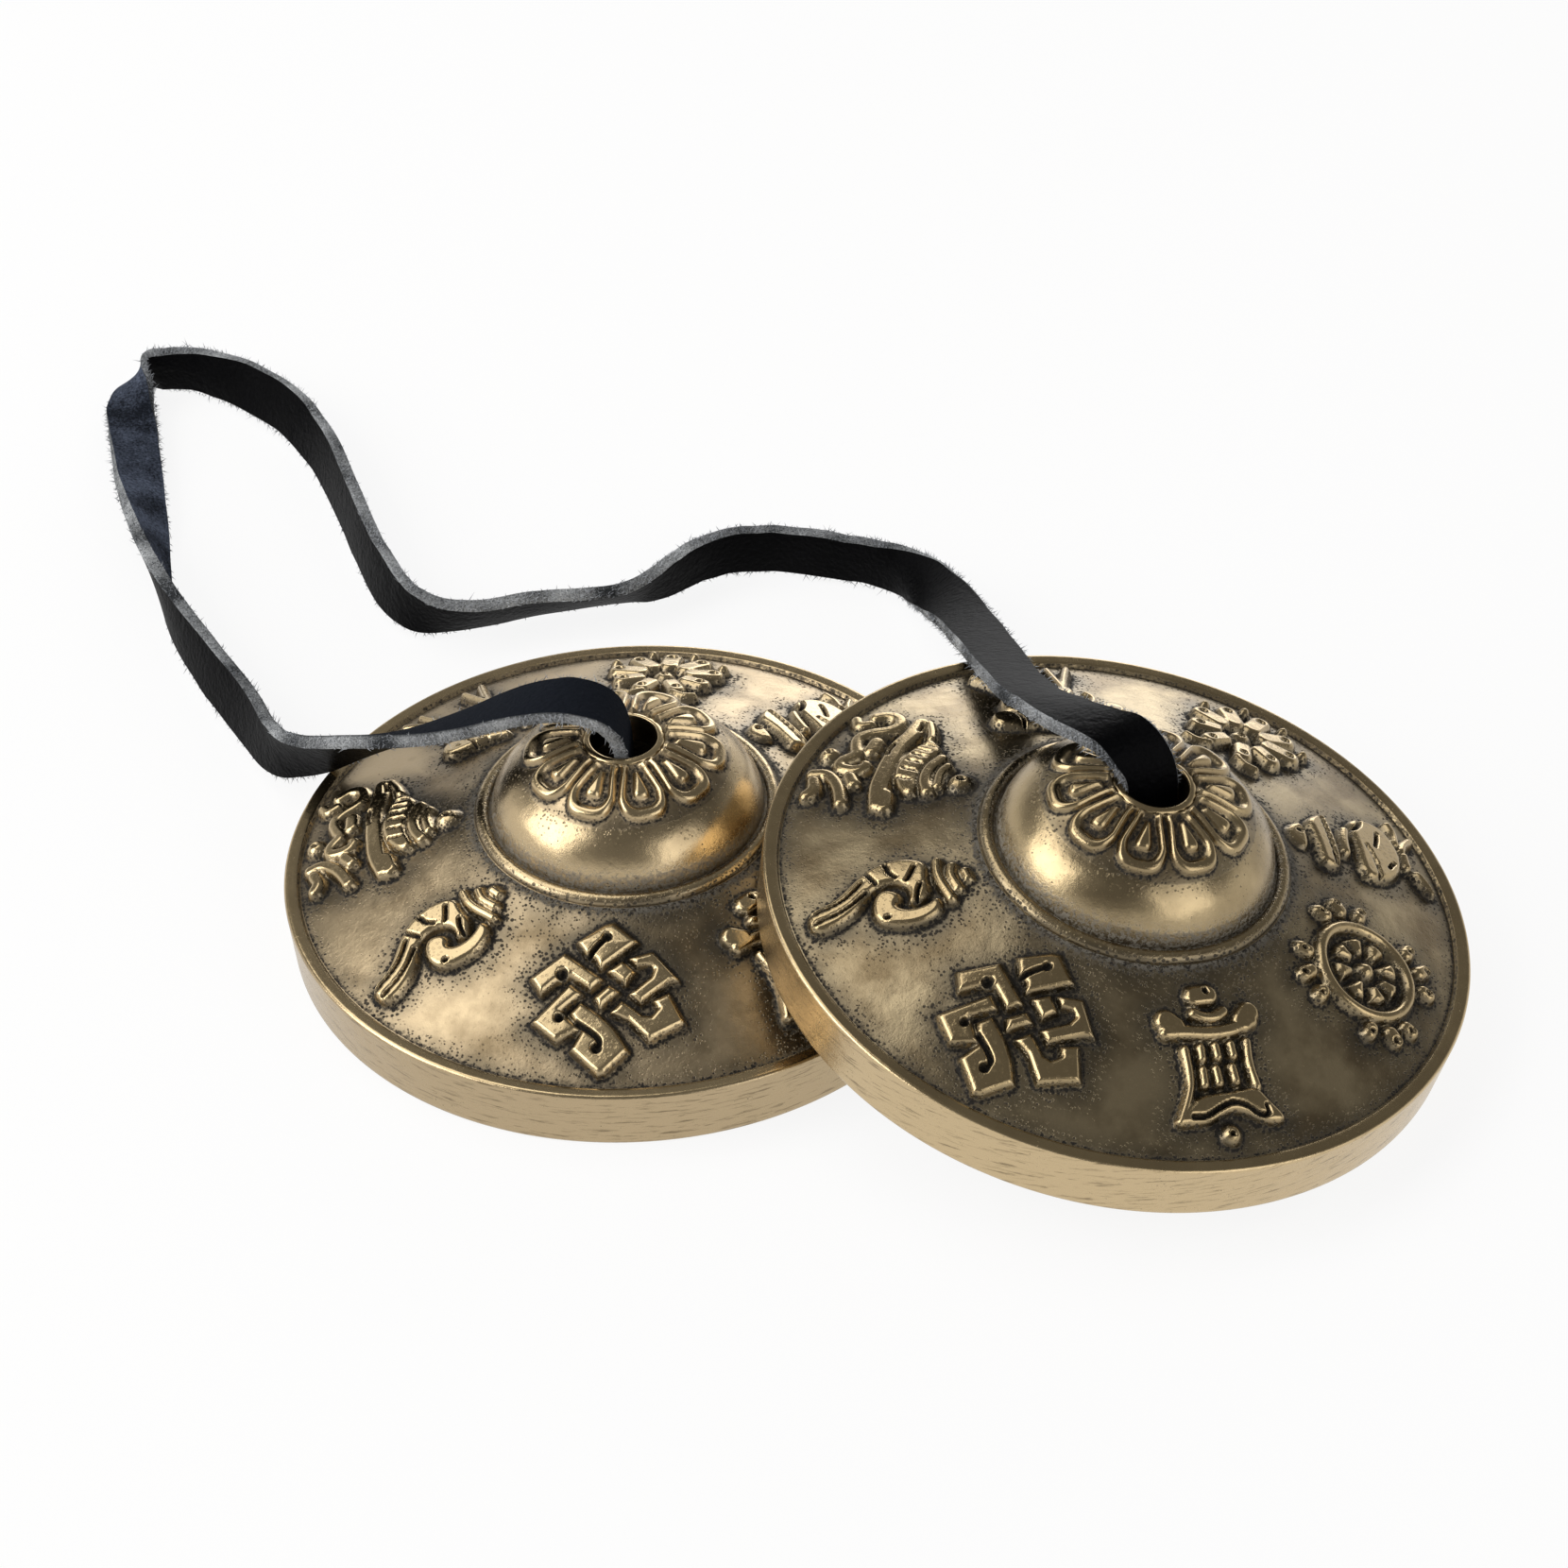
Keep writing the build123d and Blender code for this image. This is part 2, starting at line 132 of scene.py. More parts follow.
# %% [markdown]
# A cymbal is cast and then turned on a lathe, so each is a profile taken round an axis. A lathed curve or a stack
# of cylinders would do for plain metal. Here the relief needs a very close and even mesh, so one casting is
# modelled in closed parts that meet inside the metal: the dome with its bead, the sloping field with the symbols,
# and the rim with its flat foot. Both cymbals come from one mould, so the parts are made once and copied. The
# sizes are the CAD model's.

# %% Sizes of one casting, in millimetres
RIM_RADIUS, RIM_HEIGHT, SIDE_TAPER, EDGE_BREAK, SHOULDER = 32.5, 6.1, 0.4, 0.5, 0.35
FOOT_WIDTH, FOOT_DRAFT, BAND_WIDTH, BAND_STEP = 4.4, 0.9, 1.3, 0.35
FIELD_RISE, WEB_THICKNESS = 6.6, 3.3
BEAD_RADIUS, BEAD_WIDTH, BEAD_HEIGHT = 14.2, 1.3, 0.6
DOME_RADIUS, DOME_HEIGHT, DOME_WALL = 12.6, 8.0, 2.6
HOLE_RADIUS, COLLAR_WIDTH, COLLAR_HEIGHT = 3.1, 0.7, 0.4
SEAT_CLEARANCE, LEFT_TURN, RIGHT_TURN = 0.5, 284.0, 260.0

foot_radius = RIM_RADIUS - SIDE_TAPER - EDGE_BREAK
foot_inner = foot_radius - FOOT_WIDTH
field_radius = RIM_RADIUS - BAND_WIDTH - BAND_STEP / 2
field_edge = RIM_HEIGHT - BAND_STEP
bead_foot = field_edge + FIELD_RISE
dome_base = bead_foot + BEAD_HEIGHT / 2
collar_radius = HOLE_RADIUS + COLLAR_WIDTH
inner_radius, inner_height = DOME_RADIUS - DOME_WALL, DOME_HEIGHT - DOME_WALL
field_slope = FIELD_RISE / (field_radius - BEAD_RADIUS)
lean = math.asin((bead_foot + SEAT_CLEARANCE) / (2 * foot_radius))
spacing = BEAD_RADIUS + SEAT_CLEARANCE + foot_radius * math.cos(lean)
reach = spacing + RIM_RADIUS * math.cos(lean) + (RIM_HEIGHT - SHOULDER) * math.sin(lean)
left_x = (RIM_RADIUS - reach) / 2


def field_height(radius):
    """Height of the sloping field."""
    return bead_foot - field_slope * (radius - BEAD_RADIUS)


def dome_height(radius, base_radius=DOME_RADIUS, rise=DOME_HEIGHT):
    """Height of the dome's outside or inside."""
    return dome_base + rise * np.sqrt(np.clip(1 - (np.asarray(radius) / base_radius) ** 2, 0, 1))


print("lean", round(math.degrees(lean), 2), "left axis at", round(left_x, 2), "mm")


# %% [markdown]
# The outline is drawn by extruding a single point from corner to corner, as by hand, and a Screw modifier turns
# it. Spin would do the same, but a modifier closes the ring on itself without doubles. A ring that stops short of
# a full turn gets its two open ends filled, so that every part is a closed solid.

# %% Spin a ring from its outline
WELD = 0.002 * MM


def run(start, end, count):
    """Points along a straight stretch of an outline, without the last one."""
    return [(start[0] + (end[0] - start[0]) * k / count, start[1] + (end[1] - start[1]) * k / count)
            for k in range(count)]


def spun(name, outline, steps, start=0.0, end=360.0):
    """Draws a closed outline in the XZ plane by extruding one point, and turns it about Z from start to end degrees."""
    deselect()
    bpy.ops.mesh.primitive_plane_add(size=MM)
    ring = bpy.context.object
    ring.name = name
    bpy.ops.object.mode_set(mode="EDIT")
    bpy.ops.mesh.merge(type="CENTER")
    bpy.ops.transform.translate(value=(outline[0][0] * MM, 0, outline[0][1] * MM))
    for (r0, z0), (r1, z1) in zip(outline, outline[1:] + outline[:1]):
        move = {"value": ((r1 - r0) * MM, 0, (z1 - z0) * MM)}
        bpy.ops.mesh.extrude_region_move(TRANSFORM_OT_translate=move)
    bpy.ops.mesh.select_all(action="SELECT")
    bpy.ops.mesh.remove_doubles(threshold=WELD)
    bpy.ops.object.mode_set(mode="OBJECT")
    screw = ring.modifiers.new("turned", "SCREW")
    screw.steps = screw.render_steps = steps
    screw.angle = math.radians(end - start)
    screw.use_merge_vertices = end - start == 360
    screw.merge_threshold = WELD
    bpy.ops.object.modifier_apply(modifier="turned")
    bpy.ops.object.mode_set(mode="EDIT")
    bpy.ops.mesh.select_all(action="DESELECT")
    bpy.ops.mesh.select_non_manifold()
    bpy.ops.mesh.fill_holes(sides=0)
    bpy.ops.mesh.select_all(action="SELECT")
    bpy.ops.mesh.normals_make_consistent(inside=False)
    bpy.ops.object.mode_set(mode="OBJECT")
    bpy.ops.object.shade_smooth_by_angle(angle=math.radians(70))
    ring.data.transform(Matrix.Rotation(math.radians(start), 4, "Z"))
    print(name, len(ring.data.polygons), "faces")
    return ring


# %% [markdown]
# The field is the sloping face that carries the symbols. As one ring it would need four hundred thousand
# triangles, and a piece should stay under half of that. So it is turned in four parts of two symbols each. They
# meet between symbols, where the metal is plain and the join can't be seen.

# %% Turn the field in four parts
FIELD_ROWS, STEPS_PER_DEGREE, RING_STEPS = 132, 4, 480
FIELD_JOINS = [22.5, 115.0, 201.0, 292.5, 382.5]
under_bead = (BEAD_RADIUS, field_height(BEAD_RADIUS) - WEB_THICKNESS)
wall_top = (foot_inner - FOOT_DRAFT, field_height(foot_inner - FOOT_DRAFT) - WEB_THICKNESS)
field_outline = run((BEAD_RADIUS, bead_foot), (field_radius, field_edge), FIELD_ROWS)
field_outline += run((field_radius, field_edge), wall_top, 2) + run(wall_top, under_bead, 3) + [under_bead]
fields = [spun("field_%d" % (k + 1), field_outline, round((end - start) * STEPS_PER_DEGREE), start, end)
          for k, (start, end) in enumerate(zip(FIELD_JOINS, FIELD_JOINS[1:]))]

# %% [markdown]
# The dome is a hollow half ellipsoid with a round bead at its foot and a small collar round the hole. A sphere
# cut in half and squashed would do, but its rows crowd at the top and are wide at the foot. The outline gives
# even rows and a half-round bead, and the inside follows the outside, so that the wall has the thickness of a
# real casting when the cymbal is seen from below.

# %% Turn the dome
dome_outline = [(BEAD_RADIUS, bead_foot)]
for k in range(1, 11):
    turn = math.pi * k / 10
    dome_outline.append((BEAD_RADIUS - BEAD_WIDTH * (1 - math.cos(turn)) / 2,
                         bead_foot + (dome_base - bead_foot) * k / 10 + BEAD_HEIGHT * math.sin(turn)))
dome_outline += run(dome_outline[-1], (DOME_RADIUS, dome_base), 2)[1:]
for k in range(76):
    turn = math.acos(collar_radius / DOME_RADIUS) * k / 75
    dome_outline.append((DOME_RADIUS * math.cos(turn), float(dome_height(DOME_RADIUS * math.cos(turn)))))
collar_foot = float(dome_height(collar_radius))
for k in range(1, 7):
    turn = math.pi / 2 * k / 6
    dome_outline.append((collar_radius - COLLAR_WIDTH * 0.8 * (1 - math.cos(turn)),
                         collar_foot + COLLAR_HEIGHT * math.sin(turn)))
hole_foot = float(dome_height(HOLE_RADIUS, inner_radius, inner_height))
dome_outline += [(HOLE_RADIUS, collar_foot + COLLAR_HEIGHT * 0.8)]
dome_outline += run((HOLE_RADIUS, collar_foot), (HOLE_RADIUS, hole_foot), 3)
for k in range(13):
    turn = math.acos(HOLE_RADIUS / inner_radius) * (12 - k) / 12
    dome_outline.append((inner_radius * math.cos(turn),
                         float(dome_height(inner_radius * math.cos(turn), inner_radius, inner_height))))
dome_outline += [(inner_radius, field_height(inner_radius) - WEB_THICKNESS), under_bead]
dome = spun("dome", dome_outline, RING_STEPS)

# %% [markdown]
# The rim is the heavy ring that sounds: a narrow polished band on top, a side that tapers a little so that it
# leaves the mould, and a flat foot. Small arcs break its edges. A bevel modifier could do that, but arcs in the
# outline cost nothing and are the same all round.

# %% Turn the rim
rim_outline = [(field_radius, field_edge), (RIM_RADIUS - BAND_WIDTH, RIM_HEIGHT - 0.06),
               (RIM_RADIUS - BAND_WIDTH + 0.15, RIM_HEIGHT)]
rim_outline += run((RIM_RADIUS - BAND_WIDTH + 0.4, RIM_HEIGHT), (RIM_RADIUS - SHOULDER, RIM_HEIGHT), 3)
for k in range(6):
    turn = math.pi / 2 * k / 5
    rim_outline.append((RIM_RADIUS - SHOULDER * (1 - math.sin(turn)), RIM_HEIGHT - SHOULDER * (1 - math.cos(turn))))
rim_outline += run((RIM_RADIUS - 0.01, RIM_HEIGHT - SHOULDER - 0.1), (foot_radius + EDGE_BREAK, EDGE_BREAK), 24)
for k in range(5):
    turn = math.pi / 2 * k / 4
    rim_outline.append((foot_radius + EDGE_BREAK * math.cos(turn), EDGE_BREAK * (1 - math.sin(turn))))
rim_outline += run((foot_radius - 0.2, 0), (foot_inner, 0), 4) + run((foot_inner, 0), wall_top, 5) + [wall_top]
rim_outline += run(wall_top, (field_radius, field_edge), 2)[1:]
rim = spun("rim", rim_outline, RING_STEPS)

# %% [markdown]
# The relief is what such cymbals are known for: the eight auspicious symbols. In the foundry they are carved in
# wax, so they have rounded tops, steep soft sides, drilled dots and cut lines. They could be modelled as small
# solids and joined, but they would sit on the metal like stickers. So each is drawn in its own plane, in
# millimetres, with its top towards the dome: pads are filled outlines, bars are strokes of a given width, jewels
# are round knobs, cuts are engraved strokes and pits are drilled dots.

# %% Draw the endless knot and the banner
KNOT = {
    "pads": [
        [(-2.85, 4.9), (-0.5, 6.6), (0.2, 6.8), (2.5, 5.05), (-0.6, 2.45), (-1.1, 3.3), (-1.9, 3.6)],
        [(-6.8, 1.65), (-3.9, 3.85), (-0.4, 1.45), (-1.35, 0.5), (-3.2, 1.75), (-4.4, 1.3), (-5.75, 0.15)],
        [(-3.2, 0.95), (-6.3, -2.5), (-4.05, -4.3), (-2.0, -3.2), (-2.9, -2.45), (-3.9, -1.5), (-2.1, 0.1)],
        [(-2.1, -0.75), (-0.2, -2.0), (1.2, -3.3), (2.4, -5.0), (0.5, -7.1), (-0.1, -7.3), (-2.65, -5.1),
         (-1.85, -3.4), (-2.4, -2.6), (-2.95, -1.75)],
        [(1.5, -0.55), (0.65, -1.6), (2.2, -2.2), (4.2, -3.95), (7.2, -2.05), (5.6, 0.5), (4.3, -0.3), (4.75, -0.95),
         (4.2, -1.75), (3.4, -1.75), (2.4, -1.1)],
        [(1.9, 3.45), (3.85, 4.2), (6.35, 1.85), (5.6, 1.6), (3.2, -0.55), (2.15, 0.15), (3.9, 1.85), (4.1, 2.6),
         (3.5, 3.0), (2.6, 2.8)], [(0.1, 2.2), (1.3, 3.15), (2.5, 2.2), (1.7, 1.1)],
        [(-0.95, -0.3), (0.25, 0.9), (1.15, 0.35), (-0.4, -1.2)],
    ],
    "cuts": [(0.55, [(-0.22, 5.34), (-1.0, 4.5), (-1.7, 3.4)]),
             (0.5, [(-2.3, -2.7), (-1.0, -3.5), (-0.05, -4.3), (-0.35, -4.9)])],
    "swell": 0.33, "crisp": True,
    "pits": [(-0.22, 5.34, 0.5), (-3.95, 1.85, 0.6), (-3.9, -2.15, 0.5), (-0.4, -4.95, 0.55), (4.15, -1.15, 0.5),
             (3.6, 2.5, 0.5)],
}
BANNER = {
    "pads": [[(-2.6, -2.9), (0.6, -2.9), (2.9, -2.6), (3.7, -3.8), (4.9, -5.3), (4.5, -5.9), (2.9, -5.7), (1.6, -4.9),
              (0.5, -4.5), (-0.8, -4.7), (-2.2, -5.3), (-4.9, -5.2), (-5.1, -4.6), (-3.6, -3.6)]],
    "bars": [(1.75, [(-0.6, 5.55), (0.6, 5.55)]), (0.95, [(-1.1, 4.0), (-0.3, 3.55), (0.8, 3.5), (1.6, 3.95)]),
             (1.9, [(-3.75, 3.75), (-3.1, 3.1)]), (1.9, [(3.95, 3.7), (3.2, 3.0)]),
             (1.15, [(-4.0, 2.75), (-2.2, 2.6), (-0.6, 2.25), (1.0, 2.2), (2.4, 2.45), (4.0, 3.0)]),
             (0.75, [(-2.75, 1.1), (-2.85, -1.2), (-3.3, -2.6), (-4.7, -4.8)]),
             (0.75, [(3.05, 1.2), (2.75, -0.6), (2.95, -2.6)]), (0.75, [(-1.3, 1.1), (-1.4, 0.15)]),
             (0.75, [(0.05, 1.1), (0.05, 0.15)]), (0.75, [(1.5, 1.1), (1.5, 0.15)]),
             (0.8, [(-1.6, -0.8), (-1.75, -2.0)]), (0.8, [(-0.4, -0.85), (-0.4, -2.0)]),
             (0.8, [(1.1, -0.85), (1.15, -2.0)])],
    "cuts": [(0.42, [(-3.6, -4.6), (-2.4, -4.75), (-1.2, -4.2), (0.3, -3.7), (1.6, -4.2), (2.5, -5.1), (3.4, -5.1),
                     (3.3, -4.3)])],
    "jewels": [(-0.4, -6.4, 0.85)],
    "pits": [(0.4, 5.85, 0.35), (-0.45, -6.4, 0.28)],
}
print("knot with", len(KNOT["pads"]), "pads, banner with", len(BANNER["bars"]), "bars")

# %% [markdown]
# The wheel and the lotus are round. Their spokes, leaves and petals could be drawn one by one, but they are set
# out by angle from a few numbers, which keeps them even. The vase is drawn freely.

# %% Draw the wheel, vase and lotus
def polar(radius, angle, centre=(0, 0)):
    """A point at that radius and angle, in degrees, about a centre."""
    return (centre[0] + radius * math.cos(math.radians(angle)), centre[1] + radius * math.sin(math.radians(angle)))


WHEEL = {
    "pads": [[polar(1.5, a - 13), polar(3.15, a - 17), polar(3.3, a), polar(3.15, a + 17), polar(1.5, a + 13)]
             for a in range(0, 360, 45)],
    "bars": [(1.25, [polar(4.45, a) for a in range(0, 361, 12)])]
    + [(1.5, [polar(6.0, a + 45), polar(6.7, a + 47)]) for a in range(0, 360, 90)]
    + [(1.45, [polar(5.8, a + 45 + s * 19), polar(6.35, a + 45 + s * 21)]) for a in range(0, 360, 90) for s in (-1, 1)],
    "jewels": [(0, 0, 0.95)],
    "pits": [polar(6.75, a + 46) + (0.36,) for a in range(0, 360, 90)]
    + [polar(6.2, a + 45 + s * 20) + (0.3,) for a in range(0, 360, 90) for s in (-1, 1)],
    "swell": 0.15, "crisp": True,
}
VASE = {
    "pads": [[(-1.5, 6.2), (-1.0, 7.2), (0.4, 7.7), (1.5, 7.0), (1.9, 5.8), (0.6, 5.6)],
             [(-3.1, 5.5), (-1.6, 5.2), (0.6, 4.9), (2.6, 4.9), (4.0, 2.3), (1.0, 2.5), (-3.6, 3.3)],
             [(-3.9, 0.3), (-3.0, 1.0), (0, 0.3), (2.5, -0.1), (3.9, -0.6), (4.3, -2.2), (3.5, -4.0), (1.5, -4.6),
              (-0.8, -4.4), (-2.6, -3.4), (-3.6, -1.8)],
             [(-4.6, -6.8), (-3.6, -5.9), (-1.4, -5.3), (-1.7, -6.1), (-3.0, -6.6)]],
    "bars": [(0.95, [(-0.9, 1.9), (0.8, 1.4), (2.0, 0.8)]), (0.9, [(-1.2, -4.9), (0.2, -5.2)]),
             (0.85, [(0.9, -5.2), (1.9, -5.9), (2.6, -6.8)]), (0.9, [(1.8, -4.9), (3.2, -5.4), (4.4, -5.3)])],
    "cuts": [(0.35, [(-2.2, -2.2), (-1.5, -3.0)]), (0.35, [(0.4, -1.8), (1.4, -2.4), (2.3, -2.8)]),
             (0.35, [(-3.0, 4.0), (0.5, 3.4), (3.2, 3.1)]), (0.4, [(2.4, -0.4), (3.2, -1.4), (4.1, -1.6)]),
             (0.35, [(-3.6, -0.6), (-1.6, -1.0), (0.4, -0.8)])],
    "pits": [(0.7, 6.3, 0.4)],
}
LOTUS = {
    "bars": [(2.35, [polar(2.7, a, (0, -0.6)), polar(4.6, a, (0, -0.6))]) for a in (-170, -131, -90, -49, -10)]
    + [(2.0, [polar(2.5, a, (0, -0.2)), polar(4.2, a, (0, -0.2))]) for a in (24, 66, 114, 156)]
    + [(0.9, [(-1.4, 4.6), (-2.4, 5.4), (-3.6, 5.2)]), (0.9, [(1.4, 4.6), (2.4, 5.4), (3.6, 5.2)])],
    "jewels": [(0, 0.0, 1.25)] + [polar(6.0, a, (0, -0.6)) + (0.6,) for a in (-150, -110, -70, -30)],
    "cuts": [(0.3, [polar(1.75, a) for a in range(0, 361, 15)])],
    "pits": [polar(4.6, a, (0, -0.6)) + (0.45,) for a in (-170, -131, -90, -49, -10)]
    + [polar(4.0, a, (0, -0.2)) + (0.42,) for a in (24, 66, 114, 156)] + [(0, 0, 0.4)],
    "swell": 0.2,
}
print("wheel, vase and lotus drawn, lotus with", len(LOTUS["bars"]), "bars")

# %% [markdown]
# The two golden fishes cross each other and are mirror images, so one is drawn and the other takes the same
# points with their sides changed. The parasol and the conch have no symmetry and are drawn as they are seen,
# point by point.

# %% Draw the fishes, parasol and conch
FISH_SPINE = [(5.3, 3.6), (3.6, 4.4), (1.4, 3.9), (-0.6, 2.0), (-2.2, -0.6), (-3.6, -3.2)]
FISHES = {
    "bars": [(2.5, [(s * u, v) for u, v in FISH_SPINE[:4]]) for s in (1, -1)]
    + [(1.9, [(s * u, v) for u, v in FISH_SPINE[3:5]]) for s in (1, -1)]
    + [(0.85, [(s * -2.4, -1.2), (s * (-3.4 + d), -3.4), (s * (-4.6 + 2.2 * d), -5.6)])
       for s in (1, -1) for d in (0, 0.9)]
    + [(0.8, [(s * 3.6, 2.6), (s * 4.4, 1.4), (s * 4.0, 0.2)]) for s in (1, -1)]
    + [(0.8, [(s * 2.4, 5.4), (s * 1.2, 6.2)]) for s in (1, -1)],
    "jewels": [(s * 5.1, 3.9, 0.75) for s in (1, -1)],
    "cuts": [(0.32, [(s * 4.2, 5.4), (s * 3.9, 4.2), (s * 4.3, 2.9)]) for s in (1, -1)],
    "pits": [(s * u, v, 0.24) for s in (1, -1)
             for u, v in ((3.1, 4.9), (2.1, 4.7), (2.9, 3.7), (1.1, 4.1), (1.9, 3.3), (0.4, 3.2), (1.0, 2.4),
                          (-0.3, 2.4), (0.2, 1.4), (-1.2, 1.0), (-0.9, -0.1), (-1.9, 0.0))],
}
PARASOL = {
    "pads": [[(-3.5, 1.4), (-2.0, 2.8), (-0.8, 2.2), (1.5, 1.9), (4.4, 3.3), (4.5, 2.0), (2.6, 0.4), (0.6, -0.2),
              (-1.0, 0.0), (-3.4, 0.8)]],
    "bars": [(0.75, [(0.0, 4.25), (1.0, 4.0), (2.8, 4.6)]), (1.0, [(-1.0, 3.2), (0.6, 2.75), (2.3, 3.1), (3.6, 4.0)]),
             (1.5, [(-6.1, -1.1), (-4.0, -1.0), (-2.0, -1.35), (0.0, -1.1), (2.0, -0.8), (4.4, -0.3), (6.4, 0.7)]),
             (1.3, [(5.2, 0.7), (6.6, 1.3)]), (0.7, [(-6.3, -0.3), (-5.0, 0.5), (-4.0, 0.9)]),
             (1.0, [(-6.0, -5.4), (-6.7, -4.5), (-6.5, -3.2), (-5.2, -2.7), (-4.1, -3.2), (-3.4, -4.6), (-2.2, -5.5),
                    (-0.6, -4.8), (0.3, -4.2), (1.4, -5.2), (2.5, -5.0), (2.6, -3.3), (1.6, -2.9)]),
             (1.0, [(4.0, -6.7), (3.6, -5.6), (4.4, -4.4), (5.6, -3.4), (7.0, -2.6)]),
             (1.0, [(4.9, -6.2), (6.0, -5.6), (6.9, -5.9)]), (0.9, [(-4.7, -5.4), (-4.2, -6.2), (-5.0, -6.8)]),
             (1.2, [(-2.0, -3.5), (-0.8, -3.4)]), (1.0, [(3.5, -3.4), (4.3, -2.7)])],
    "cuts": [(0.3, [(u, 0.7 + 0.04 * u), (u + 0.12, 1.75 + 0.06 * abs(u))])
             for u in (-2.6, -1.75, -0.9, 0.1, 1.35, 2.7)]
    + [(0.3, [(-5.9, -0.75), (-4.6, -0.55)]), (0.3, [(-2.2, -1.7), (-0.2, -1.6)])],
    "jewels": [(1.5, 6.1, 1.05), (0.7, -6.7, 0.9)],
    "pits": [(1.35, 6.15, 0.4), (0.7, -6.7, 0.3), (1.7, -3.4, 0.3)],
    "swell": 0.42,
}
CONCH = {
    "pads": [[(-1.7, 4.1), (-3.0, 2.9), (-3.6, 1.0), (-3.4, -0.8), (-2.5, -2.4), (-1.2, -4.4), (-1.0, -6.9),
              (1.6, -6.9), (1.5, -4.4), (0.6, -2.6), (-0.5, -1.6), (-1.1, -0.6), (-1.0, 0.6), (-0.3, 1.5), (0.8, 1.7),
              (1.8, 1.2), (2.2, 2.2), (1.2, 3.4), (-0.2, 3.5)],
             [(-0.6, -0.1), (-0.3, -1.0), (0.8, -1.7), (2.2, -1.8), (3.3, -1.1), (4.1, 0.6), (4.3, 1.8), (4.0, 3.2),
              (3.2, 4.0), (2.0, 3.8), (2.6, 2.4), (2.3, 0.9), (1.5, 0.3), (1.0, 0.9), (0.2, 0.9)]],
    "bars": [(0.9, [(0.3, 6.6), (1.1, 6.65)]), (1.0, [(-0.6, 5.75), (0.4, 5.35), (1.9, 5.6)]),
             (0.95, [(-1.6, 4.75), (0.0, 4.25), (2.8, 4.7)])],
    "cuts": [(0.35, [(-2.0, -1.6), (-0.7, -3.6), (-0.4, -6.4)]), (0.35, [(-0.9, -1.6), (0.3, -3.6), (0.6, -6.4)]),
             (0.35, [(-3.2, 0.7), (-2.0, 0.7), (-1.3, 1.1)]), (0.35, [(-1.8, 2.9), (-1.0, 2.3), (-0.6, 1.9)]),
             (0.35, [(-3.0, -1.1), (-2.0, -0.8), (-1.4, -0.6)]), (0.3, [(0.3, 2.8), (1.0, 2.3), (1.9, 2.0)])],
    "pits": [(2.6, -0.7, 0.3)],
    "swell": 0.24,
}
SYMBOLS = [(0, KNOT), (45, BANNER), (95, WHEEL), (135, VASE), (177, LOTUS), (225, FISHES), (270, PARASOL), (315, CONCH)]
print("symbols drawn:", len(SYMBOLS))


# %% [markdown]
# How deep a point of the mesh lies in a drawing decides how high it is raised, which rounds the edges as wax
# does. The distance to a stroke is that to its nearest run, less half the width. The distance to an outline is
# that to its nearest side, positive inside. Corners are cut twice, so that drawn lines run smoothly.

# %% Distances to drawn shapes
FAR_OUTSIDE = -9.0


def to_runs(u, v, points):
    """Distance from each point of the mesh to the nearest run of a line."""
    best = np.full(u.shape, np.inf)
    ends = points[1:] if len(points) > 1 else points
    for (ax, ay), (bx, by) in zip(points, ends):
        dx, dy = bx - ax, by - ay
        along = np.clip(((u - ax) * dx + (v - ay) * dy) / max(dx * dx + dy * dy, 1e-9), 0, 1)
        best = np.minimum(best, np.hypot(u - ax - along * dx, v - ay - along * dy))
    return best


def inside(u, v, points):
    """Distance to a closed outline, positive inside it."""
    within = np.zeros(u.shape, bool)
    for (ax, ay), (bx, by) in zip(points, points[1:] + points[:1]):
        crosses = (ay > v) != (by > v)
        within ^= crosses & (u < (bx - ax) * (v - ay) / (by - ay if by != ay else 1e-9) + ax)
    return np.where(within, 1, -1) * to_runs(u, v, points + points[:1])


def rounded(depth, edge):
    """From 0 at a shape's border to 1 at the given depth, with a soft round edge."""
    return 1 - (1 - np.clip(depth / edge, 0, 1)) ** 2


def flow(points, closed=False):
    """Cuts the corners of a drawn line twice, so that it runs as smoothly as a line carved in wax."""
    for _ in range(2):
        sides = zip(points, points[1:] + points[:1] if closed else points[1:])
        cut = [(a[0] + (b[0] - a[0]) * t, a[1] + (b[1] - a[1]) * t) for a, b in sides for t in (0.25, 0.75)]
        points = cut if closed else points[:1] + cut + points[-1:]
    return points


def band(radius, middle, width):
    """1 on a ring of that radius, fading away to both sides."""
    return np.exp(-((radius - middle) / width) ** 2)


print("lines are drawn, smoothed and measured in millimetres")

# %% [markdown]
# A carver works from the outside in: first the mass, then the strokes, then the cuts. The function does the same.
# The highest of all the shapes at a point wins, as where wax is laid on wax, and then cuts and dots take height
# away again. Booleans could join the shapes, but they leave sharp edges where wax would flow together.

# %% Carve one symbol
SWELL, PAD_EDGE, BAR_EDGE = 0.28, 0.75, 0.7


